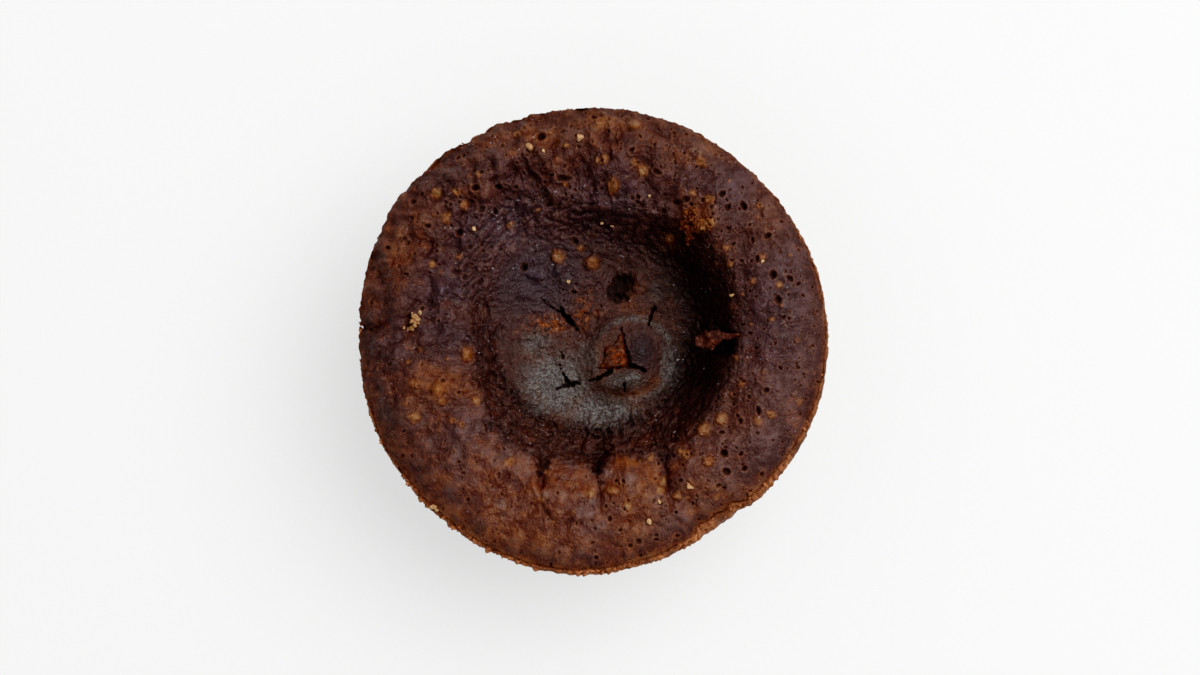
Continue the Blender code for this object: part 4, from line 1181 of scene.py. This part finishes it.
along_shred = np.linspace(0.0, 1.0, SHRED_STEPS)[:, None]
round_shred = np.linspace(0.0, -2 * math.pi, SHRED_SIDES, endpoint=False) + 0.0 * along_shred
half_width = np.interp(along_shred, np.linspace(0, 1, len(SHRED_HALF_WIDTHS)), SHRED_HALF_WIDTHS)
shred_side = 5.3 * np.sign(np.cos(round_shred)) + 0.5
torn_side = rough_hills(4.5 * along_shred + 0.0 * round_shred, shred_side, 81, 4)
shred_run = np.subtract(SHRED_TIP, SHRED_ROOT)
shred_lean = np.array([-shred_run[1], shred_run[0]]) / np.hypot(*shred_run)
across_shred = half_width * (1.0 + 0.75 * torn_side) * np.cos(round_shred)
shred_x, shred_y = (SHRED_ROOT[k] + along_shred * shred_run[k] + shred_lean[k] * across_shred for k in (0, 1))
shred_crumb = in_plane(knobs, shred_x.ravel(), shred_y.ravel(), 0.8, 82).reshape(shred_x.shape)
shred_lift = 0.5 * in_plane(rough_hills, shred_x, shred_y, 3.2, 83, 2)
shred_taper = np.sqrt(np.clip(1.0 - (2.0 * along_shred - 1.0) ** 8, 0.05, 1.0))
shred_z = SHRED_HEIGHTS[0] + along_shred * (SHRED_HEIGHTS[1] - SHRED_HEIGHTS[0])
shred_z = shred_z + SHRED_SAG * np.sin(math.pi * along_shred) + shred_lift
shred_z += np.sin(round_shred) * shred_taper * SHRED_HALF_THICKNESS * (0.7 + 1.1 * shred_crumb)
shred_points = np.stack([shred_x, shred_y, shred_z], axis=-1)
shred_ends = shred_points[[0, -1]].mean(axis=1)
torn_shred = build_piece(
    "torn_shred",
    np.concatenate([shred_points.reshape(-1, 3), shred_ends]),
    tube(np.arange(SHRED_STEPS * SHRED_SIDES).reshape(SHRED_STEPS, SHRED_SIDES)),
    {
        "relief": shred_crumb.ravel(),
        "thin": 0.05 + 0.3 * shred_lift.ravel(),
        # The underside of the shred is darkened with painted shade
        "pit": 0.5 * ramp(-np.sin(round_shred), 0.2, 0.8).ravel(),
    },
    cocoa_crust,
)
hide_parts("cake_body")

# Crumb tuft
# A tuft of soft inner crumb that broke through the crater's upper right edge: moist orange-brown lumps
# that cling together on the crust.
# Areas of lumps: middle x, middle y, half length, half width, count
TUFT_AREAS = ((15.7, 18.4, 1.5, 2.3, 46), (17.7, 18.2, 1.5, 1, 14), (15.4, 16.4, 0.5, 0.9, 8))
TUFT_LUMP_SIZES = (0.22, 0.72)
TUFT_SEED = 84
TUFT_SUNK = 0.4
TUFT_OCHRE_FROM = (16.4, 18.0)
# Lumpy balls: how many waves swell each and how short they are; then lumpiness, seed, rows and columns
BALL_WAVES = 5
BALL_WAVE_SPREAD = 2.2
TUFT_BALLS = (1.1, 85, 11, 18)


def scatter(places, half_sizes, lumpiness, seed, rows, columns):
    """Closed lumpy balls: unit directions times one plus cosine waves, stretched, turned and set in place."""
    draw = np.random.default_rng(seed)
    tilt = np.linspace(-math.pi / 2, math.pi / 2, rows + 2)[1:-1, None]
    turn = np.linspace(0.0, 2 * math.pi, columns, endpoint=False)
    ball = [np.cos(tilt) * np.cos(turn), np.cos(tilt) * np.sin(turn), np.sin(tilt) + 0.0 * turn]
    ball = np.concatenate([np.stack(ball, axis=-1).reshape(-1, 3), [[0.0, 0.0, -1.0], [0.0, 0.0, 1.0]]])
    axes = draw.normal(0.0, BALL_WAVE_SPREAD, (len(places), BALL_WAVES, 3))
    phases = draw.uniform(0.0, 2 * math.pi, (len(places), BALL_WAVES, 1))
    swelling = 1.0 + lumpiness * np.cos(axes @ ball.T + phases).mean(axis=1)
    shape_x, shape_y, shape_z = np.moveaxis(ball * swelling[:, :, None] * half_sizes[:, None, :], -1, 0)
    spin = draw.uniform(0.0, math.pi, len(places))[:, None]
    spun_x = shape_x * np.cos(spin) - shape_y * np.sin(spin)
    spun_y = shape_x * np.sin(spin) + shape_y * np.cos(spin)
    points = np.stack([spun_x, spun_y, shape_z], axis=-1) + places[:, None, :]
    quads, *ends = tube(np.arange(rows * columns).reshape(rows, columns))
    step = (np.arange(len(places)) * len(ball))[:, None, None]
    groups = (quads, np.concatenate(ends))
    return points.reshape(-1, 3), [(group[:, ::-1] + step).reshape(-1, group.shape[1]) for group in groups]


def on_crust(x, y, half_sizes, sunk):
    """Places for lumps on the crust: its height at each spot, plus their half height less a sunk share."""
    height, _ = crust_surface(x, y)
    return np.column_stack([x, y, height + half_sizes[:, 2] * (1.0 - sunk)])


def strewn_over(areas, sizes, draw):
    """Seeded spots inside ovals, denser at their middles, with three half sizes each."""
    counts = [count for *_, count in areas]
    centre_x, centre_y, half_length, half_width, _ = np.repeat(np.array(areas), counts, axis=0).T
    away, turn = draw.uniform(0.0, 1.0, (2, len(centre_x))) ** [[0.6], [1.0]]
    half_sizes = draw.uniform(*sizes, (len(centre_x), 3)) * (1.15 - 0.5 * away)[:, None]
    x = centre_x + half_length * away * np.cos(2 * math.pi * turn)
    y = centre_y + half_width * away * np.sin(2 * math.pi * turn)
    return x, y, half_sizes


lump_x, lump_y, lump_sizes = strewn_over(TUFT_AREAS, TUFT_LUMP_SIZES, np.random.default_rng(TUFT_SEED))
tuft_points, tuft_faces = scatter(on_crust(lump_x, lump_y, lump_sizes, TUFT_SUNK), lump_sizes, *TUFT_BALLS)
tuft_x, tuft_y, _ = tuft_points.T
tuft_marks = {
    "relief": in_plane(puffs, tuft_x, tuft_y, 0.8, 86, 2),
    "thin": 0.80 + 0.5 * in_plane(hills, tuft_x, tuft_y, 0.9, 87),
    "ochre": 0.45 * ramp(tuft_x, *TUFT_OCHRE_FROM),
}
crumb_tuft = build_piece("crumb_tuft", tuft_points, tuft_faces, tuft_marks, cocoa_crust)

# Pale grains
# Dry crumbs and coarse sugar grains that stuck to the crust while it baked: pale tan, waxy, under a
# millimetre across, lying singly and in small clusters.
# Single grains: x, y, half length, how pale
GRAINS = (
    (-10.1, 30.5, 0.66, 0.35), (-2.2, 32, 0.58, 0.5), (-4.1, 9.6, 0.3, 0.9), (-19, 17.6, 0.42, 1),
    (15.3, -23.6, 0.52, 0.5), (9, -29.2, 0.36, 1), (10.6, -26, 0.3, 0.7), (22.3, 7, 0.36, 0.6),
    (-28.4, 3.5, 0.52, 0.3), (-27.6, 4, 0.38, 0.8), (-28.6, 2.8, 0.5, 0.1), (-28, 3, 0.38, 0.5),
    (-28.4, 2.2, 0.46, 0.3), (-25.9, -26.9, 0.44, 0.6), (-25.2, -27.4, 0.32, 0.8),
    (27.1, 12.2, 0.24, 0.9), (3.1, 18.5, 0.24, 1), (1.4, 18.9, 0.22, 0.9), (9.1, 22.9, 0.2, 1),
    (-7.9, 30, 0.24, 0.8), (1.3, -6, 0.18, 1), (-29, 1.7, 0.44, 0.4), (-29.6, 1.5, 0.24, 0.1),
    (-28.9, 3.9, 0.24, 0.2), (-30.2, 1.8, 0.22, 0.1), (-27.9, 2.4, 0.22, 0.6),
)
PALE_CRUMB_AREAS = ((17.9, 18.3, 1.5, 0.9, 30),)
PALE_CRUMB_SIZES = (0.16, 0.40)
# Single grains vary from the first to the second, in shares of their half length: length, width, height
GRAIN_SHARES = ((0.80, 0.65, 0.5), (1.15, 1.05, 0.9))
GRAIN_SEED = 88
GRAIN_SUNK = 0.2
GRAIN_BALLS = (1.3, 89, 9, 14)
GRAIN_TAN = (0.3, 0.118, 0.04, 1.0)
GRAIN_PALE = (0.52, 0.31, 0.15, 1.0)
PALE_GRAIN_DEPTH = 0.05e-3
PALE_GRAIN_FINENESS = 2.0
GRAIN_SPECULAR = 0.5


def grain_material():
    """Waxy tan grain, paler where its own mark says, with a faint mottle."""
    started = start_material("pale_grain", PALE_GRAIN_DEPTH, ("pale",), PALE_GRAIN_FINENESS)
    material, (_, mottle, speck), normal, mark = started
    pale = add(mark["pale"], stretch(mottle, 0.3, 0.7, -0.35, 0.35), True)
    color = blend(pale, GRAIN_TAN, GRAIN_PALE)
    finish_material(material, color, stretch(speck, 0.3, 0.7, 0.35, 0.55), normal, GRAIN_SPECULAR)
    return material


grain_x, grain_y, grain_half, grain_pale = np.array(GRAINS).T
grain_draw = np.random.default_rng(GRAIN_SEED)
grain_sizes = grain_half[:, None] * grain_draw.uniform(*GRAIN_SHARES, (len(GRAINS), 3))
pale_x, pale_y, pale_sizes = strewn_over(PALE_CRUMB_AREAS, PALE_CRUMB_SIZES, grain_draw)
grain_x, grain_y = np.concatenate([grain_x, pale_x]), np.concatenate([grain_y, pale_y])
grain_sizes = np.concatenate([grain_sizes, pale_sizes])
grain_pale = np.concatenate([grain_pale, grain_draw.uniform(-0.6, 0.15, len(pale_x))])
grain_places = on_crust(grain_x, grain_y, grain_sizes, GRAIN_SUNK)
grain_points, grain_faces = scatter(grain_places, grain_sizes, *GRAIN_BALLS)
grain_marks = {"pale": np.repeat(grain_pale, len(grain_points) // len(grain_x))}
pale_grains = build_piece("pale_grains", grain_points, grain_faces, grain_marks, grain_material())

# Edge crumbs
# Crumbs that cling where the cake tore as it came out of its mould: most along the lip at the lower right
# and in the chip, a few on the rest of the side.
EDGE_CRUMB_COUNT = 1100
EDGE_CRUMB_SIZES = (0.10, 0.38)
CHIP_CRUMB_AREAS = ((22.4, -27.2, 0.9, 0.7, 9), (25.2, -24.9, 0.8, 0.7, 7))
EDGE_CRUMB_SEED = 90
CHIP_CRUMB_SUNK = 0.3
EDGE_CRUMB_DROP = (0.002, 0.09)
EDGE_CRUMB_OVERHANG = (0.1, 1.0)
EDGE_CRUMB_BALLS = (0.6, 91, 5, 8)

crumb_draw = np.random.default_rng(EDGE_CRUMB_SEED)
crumb_bearing = crumb_draw.uniform(-math.pi, math.pi, EDGE_CRUMB_COUNT)
crumb_chance = round_the_ring(TORN_LIP, crumb_bearing) ** 2
crumb_bearing = crumb_bearing[crumb_draw.uniform(0.0, 1.0, EDGE_CRUMB_COUNT) < crumb_chance]
crumb_sizes = crumb_draw.uniform(*EDGE_CRUMB_SIZES, (len(crumb_bearing), 3))
crumb_z = top_edge_height(crumb_bearing) * (1.0 - crumb_draw.uniform(*EDGE_CRUMB_DROP, len(crumb_bearing)))
crumb_reach = outline_radius(crumb_bearing) - chip(crumb_bearing, crumb_z)
inwards = crumb_draw.uniform(*EDGE_CRUMB_OVERHANG, len(crumb_bearing))
crumb_reach -= round_the_ring(LIP_OVERHANG, crumb_bearing) * inwards + 0.10
chip_x, chip_y, chip_sizes = strewn_over(CHIP_CRUMB_AREAS, EDGE_CRUMB_SIZES, crumb_draw)
crumb_places = np.concatenate([
    ring_points(crumb_reach, crumb_bearing, crumb_z),
    on_crust(chip_x, chip_y, chip_sizes, CHIP_CRUMB_SUNK),
])
crumb_sizes = np.concatenate([crumb_sizes, chip_sizes])
crumb_points, crumb_faces = scatter(crumb_places, crumb_sizes, *EDGE_CRUMB_BALLS)
crumb_tone = crumb_draw.uniform(0.0, 1.0, len(crumb_places))
crumb_tone = np.repeat(crumb_tone, len(crumb_points) // len(crumb_places))
crumb_marks = {"relief": crumb_tone, "torn": 0.3 + 0.7 * crumb_tone}
edge_crumbs = build_piece("edge_crumbs", crumb_points, crumb_faces, crumb_marks, cocoa_side)

# Molten centre
# The filling that wells up in the corner of the split: thick melted chocolate batter, wet and glossy,
# with red-brown light in its thin edges. It fills the well and stands a little below the crust.
FILLING_GAP = -0.20
FILLING_BULGE = 0.9
FILLING_BULGE_BEARING = 146.0
FILLING_BULGE_WIDTH = 0.22
FILLING_SLOPE = 0.26
FILLING_LIFT = 0.45
FILLING_NET = 91
LEAST_FACING = 1e-3
# The filling's dark serves its mottle and painted shade at its edge; its bright flecks are painted highlights
FILLING_DARK = (0.038, 0.0085, 0.0016, 1.0)
FILLING_ORANGE = (0.18, 0.036, 0.0022, 1.0)
FILLING_BRIGHT = (0.76, 0.15, 0.006, 1.0)
FILLING_GRAIN_DEPTH = 0.12e-3
FILLING_SPECULAR = 0.16


def filling_material():
    """Wet chocolate: dark red-brown with orange flecks and brighter flecks of painted highlight, fewer
    towards its edge, which is darkened with painted shade, and a gloss.
    """
    started = start_material("molten_chocolate", FILLING_GRAIN_DEPTH, ("rimmed",))
    material, (_, mottle, speck), normal, mark = started
    color = blend(stretch(mottle, 0.40, 0.78), FILLING_DARK, FILLING_ORANGE)
    dark = add(mark["rimmed"], spread(mottle, -2.2), True)
    color = blend(dark, color, FILLING_DARK)
    color = blend(times(stretch(speck, 0.58, 0.70), less(1.0, dark)), color, FILLING_BRIGHT)
    finish_material(material, color, stretch(mottle, 0.3, 0.7, 0.18, 0.36), normal, FILLING_SPECULAR)
    return material


heart = np.mean(PIT_CORNERS, axis=0)
disc_x, disc_y = disc_net(FILLING_NET)
disc_reach = np.hypot(disc_x, disc_y)
from_heart = np.arctan2(disc_y, disc_x)
side_reaches = [
    ((heart - start) @ inward - FILLING_GAP)
    / np.maximum(-inward[0] * np.cos(from_heart) - inward[1] * np.sin(from_heart), LEAST_FACING)
    for start, inward in triangle_sides(PIT_CORNERS)
]
filling_reach = functools.reduce(np.minimum, side_reaches)
upper_way = np.cos(from_heart - math.radians(FILLING_BULGE_BEARING))
filling_reach += FILLING_BULGE * bell(1.0 - upper_way, 0.0, FILLING_BULGE_WIDTH)
filling_reach += 0.45 * rough_hills(disc_x * 2.6 + 9.0, disc_y * 2.6 + 9.0, 73, 3) * disc_reach
filling_x = heart[0] + disc_x * filling_reach
filling_y = heart[1] + disc_y * filling_reach
(upper_x, upper_y), (in_x, in_y) = next(triangle_sides(PIT_CORNERS))
from_upper_side = (filling_x - upper_x) * in_x + (filling_y - upper_y) * in_y
filling_z = top_height(filling_x, filling_y) + FILLING_LIFT
filling_z -= FILLING_SLOPE * np.clip(from_upper_side, 0.0, 4.0)
filling_z += 0.22 * in_plane(knobs, filling_x, filling_y, 0.7, 71)
filling_z += 0.10 * in_plane(rough_hills, filling_x, filling_y, 1.6, 72, 2)
filling_z -= 0.60 * np.clip((disc_reach - 0.7) / 0.3, 0.0, 1.0) ** 2
filling_ring = net_border(FILLING_NET)
foot_ring = FILLING_NET ** 2 + np.arange(len(filling_ring))
filling_points = np.column_stack([filling_x, filling_y, filling_z])
foot_points = np.concatenate([filling_points[filling_ring], [[*heart, 0.0]]])
foot_points[:, 2] = pit_floor() + FILLING_GAP
molten = build_piece(
    "molten_filling",
    np.concatenate([filling_points, foot_points]),
    [net_quads(FILLING_NET), bands([filling_ring, foot_ring]), fan(foot_ring, foot_ring[-1] + 1)],
    # Painted shade, darker towards the filling's edge
    {"rimmed": 0.95 * ramp(np.hypot(disc_x - 0.25, disc_y - 0.05), 0.10, 0.85)},
    filling_material(),
)
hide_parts("molten_centre")

# Studio
# A plain pale floor, lit a little from below as a light table is, under a soft ring of overhead glow that
# fades towards the horizon and straight above, where the camera hangs. One large soft light high on the
# upper right, as a window light, lays its cool sheen on the slopes that face it.
FLOOR_HALF = 1.6
FLOOR_ROUGHNESS = 0.9
FLOOR_SPECULAR = 0.1
FLOOR_COLOR = (0.30, 0.30, 0.297, 1.0)
FLOOR_GLOW_COLOR = (0.98, 0.98, 0.975, 1.0)
FLOOR_GLOW = 0.60
KEY_BEARING = 32.0
KEY_FROM_VERTICAL = 34.0
KEY_DISTANCE = 1.2
KEY_SIZE = 1.2
KEY_POWER = 15.5
KEY_COLOR = (0.97, 1.0, 0.98)
SURROUND_COLOR = (0.97, 0.98, 1.0, 1.0)
OVERHEAD_STRENGTH = 0.68
HORIZON_STRENGTH = 0.22
ZENITH_SHARE = 0.12
BACKDROP_STRENGTH = 0.88
# How high the way out points: where the glow grows, and where it fades again
GLOW_GROWS = (0.20, 0.60)
GLOW_FADES = (0.82, 0.95)

floor_corners = [(x * FLOOR_HALF, y * FLOOR_HALF, 0) for x, y in ((-1, -1), (1, -1), (1, 1), (-1, 1))]
floor_mesh = bpy.data.meshes.new("floor")
floor_mesh.from_pydata(floor_corners, [], [(0, 1, 2, 3)])
floor_material = bpy.data.materials.new("floor_paper")
floor_material.use_nodes = True
floor_inputs = floor_material.node_tree.nodes["Principled BSDF"].inputs
floor_inputs["Base Color"].default_value = FLOOR_COLOR
floor_inputs["Roughness"].default_value = FLOOR_ROUGHNESS
floor_inputs["Specular IOR Level"].default_value = FLOOR_SPECULAR
floor_inputs["Emission Color"].default_value = FLOOR_GLOW_COLOR
floor_inputs["Emission Strength"].default_value = FLOOR_GLOW
floor_mesh.materials.append(floor_material)
table = add_object("table", floor_mesh)

key_data = bpy.data.lights.new("key", "AREA")
key_data.shape = "DISK"
key_data.size = KEY_SIZE
key_data.energy = KEY_POWER
key_data.color = KEY_COLOR
key = add_object("key", key_data)
key_way = way_to(KEY_FROM_VERTICAL, KEY_BEARING)
key.location = key_way * KEY_DISTANCE
key.rotation_euler = (-key_way).to_track_quat("-Z", "Y").to_euler()

surround = bpy.data.worlds.new("surround")
surround.use_nodes = True
sky = surround.node_tree
way_out = wire(sky, "ShaderNodeTexCoord", {}).outputs["Generated"]
way_up = wire(sky, "ShaderNodeSeparateXYZ", {0: way_out}).outputs["Z"]
glow = stretch(way_up, *GLOW_GROWS, HORIZON_STRENGTH, OVERHEAD_STRENGTH)
glow = times(glow, stretch(way_up, *GLOW_FADES, 1.0, ZENITH_SHARE))
seen = wire(sky, "ShaderNodeLightPath", {}).outputs["Is Camera Ray"]
glow = wire(sky, "ShaderNodeMix", {0: seen, 2: glow, 3: BACKDROP_STRENGTH}, data_type="FLOAT").outputs[0]
sky.links.new(glow, sky.nodes["Background"].inputs["Strength"])
sky.nodes["Background"].inputs["Color"].default_value = SURROUND_COLOR
bpy.context.scene.world = surround

# The photograph's deep blacks: light levels, and what each is shown as
TONE_POINTS = ((0.012, 0.002), (0.030, 0.013), (0.060, 0.045), (0.120, 0.119), (0.250, 0.265))
view = bpy.context.scene.view_settings
view.view_transform = "Standard"
view.use_curve_mapping = True
for level, shown in TONE_POINTS:
    view.curve_mapping.curves[3].points.new(level, shown)
view.curve_mapping.update()
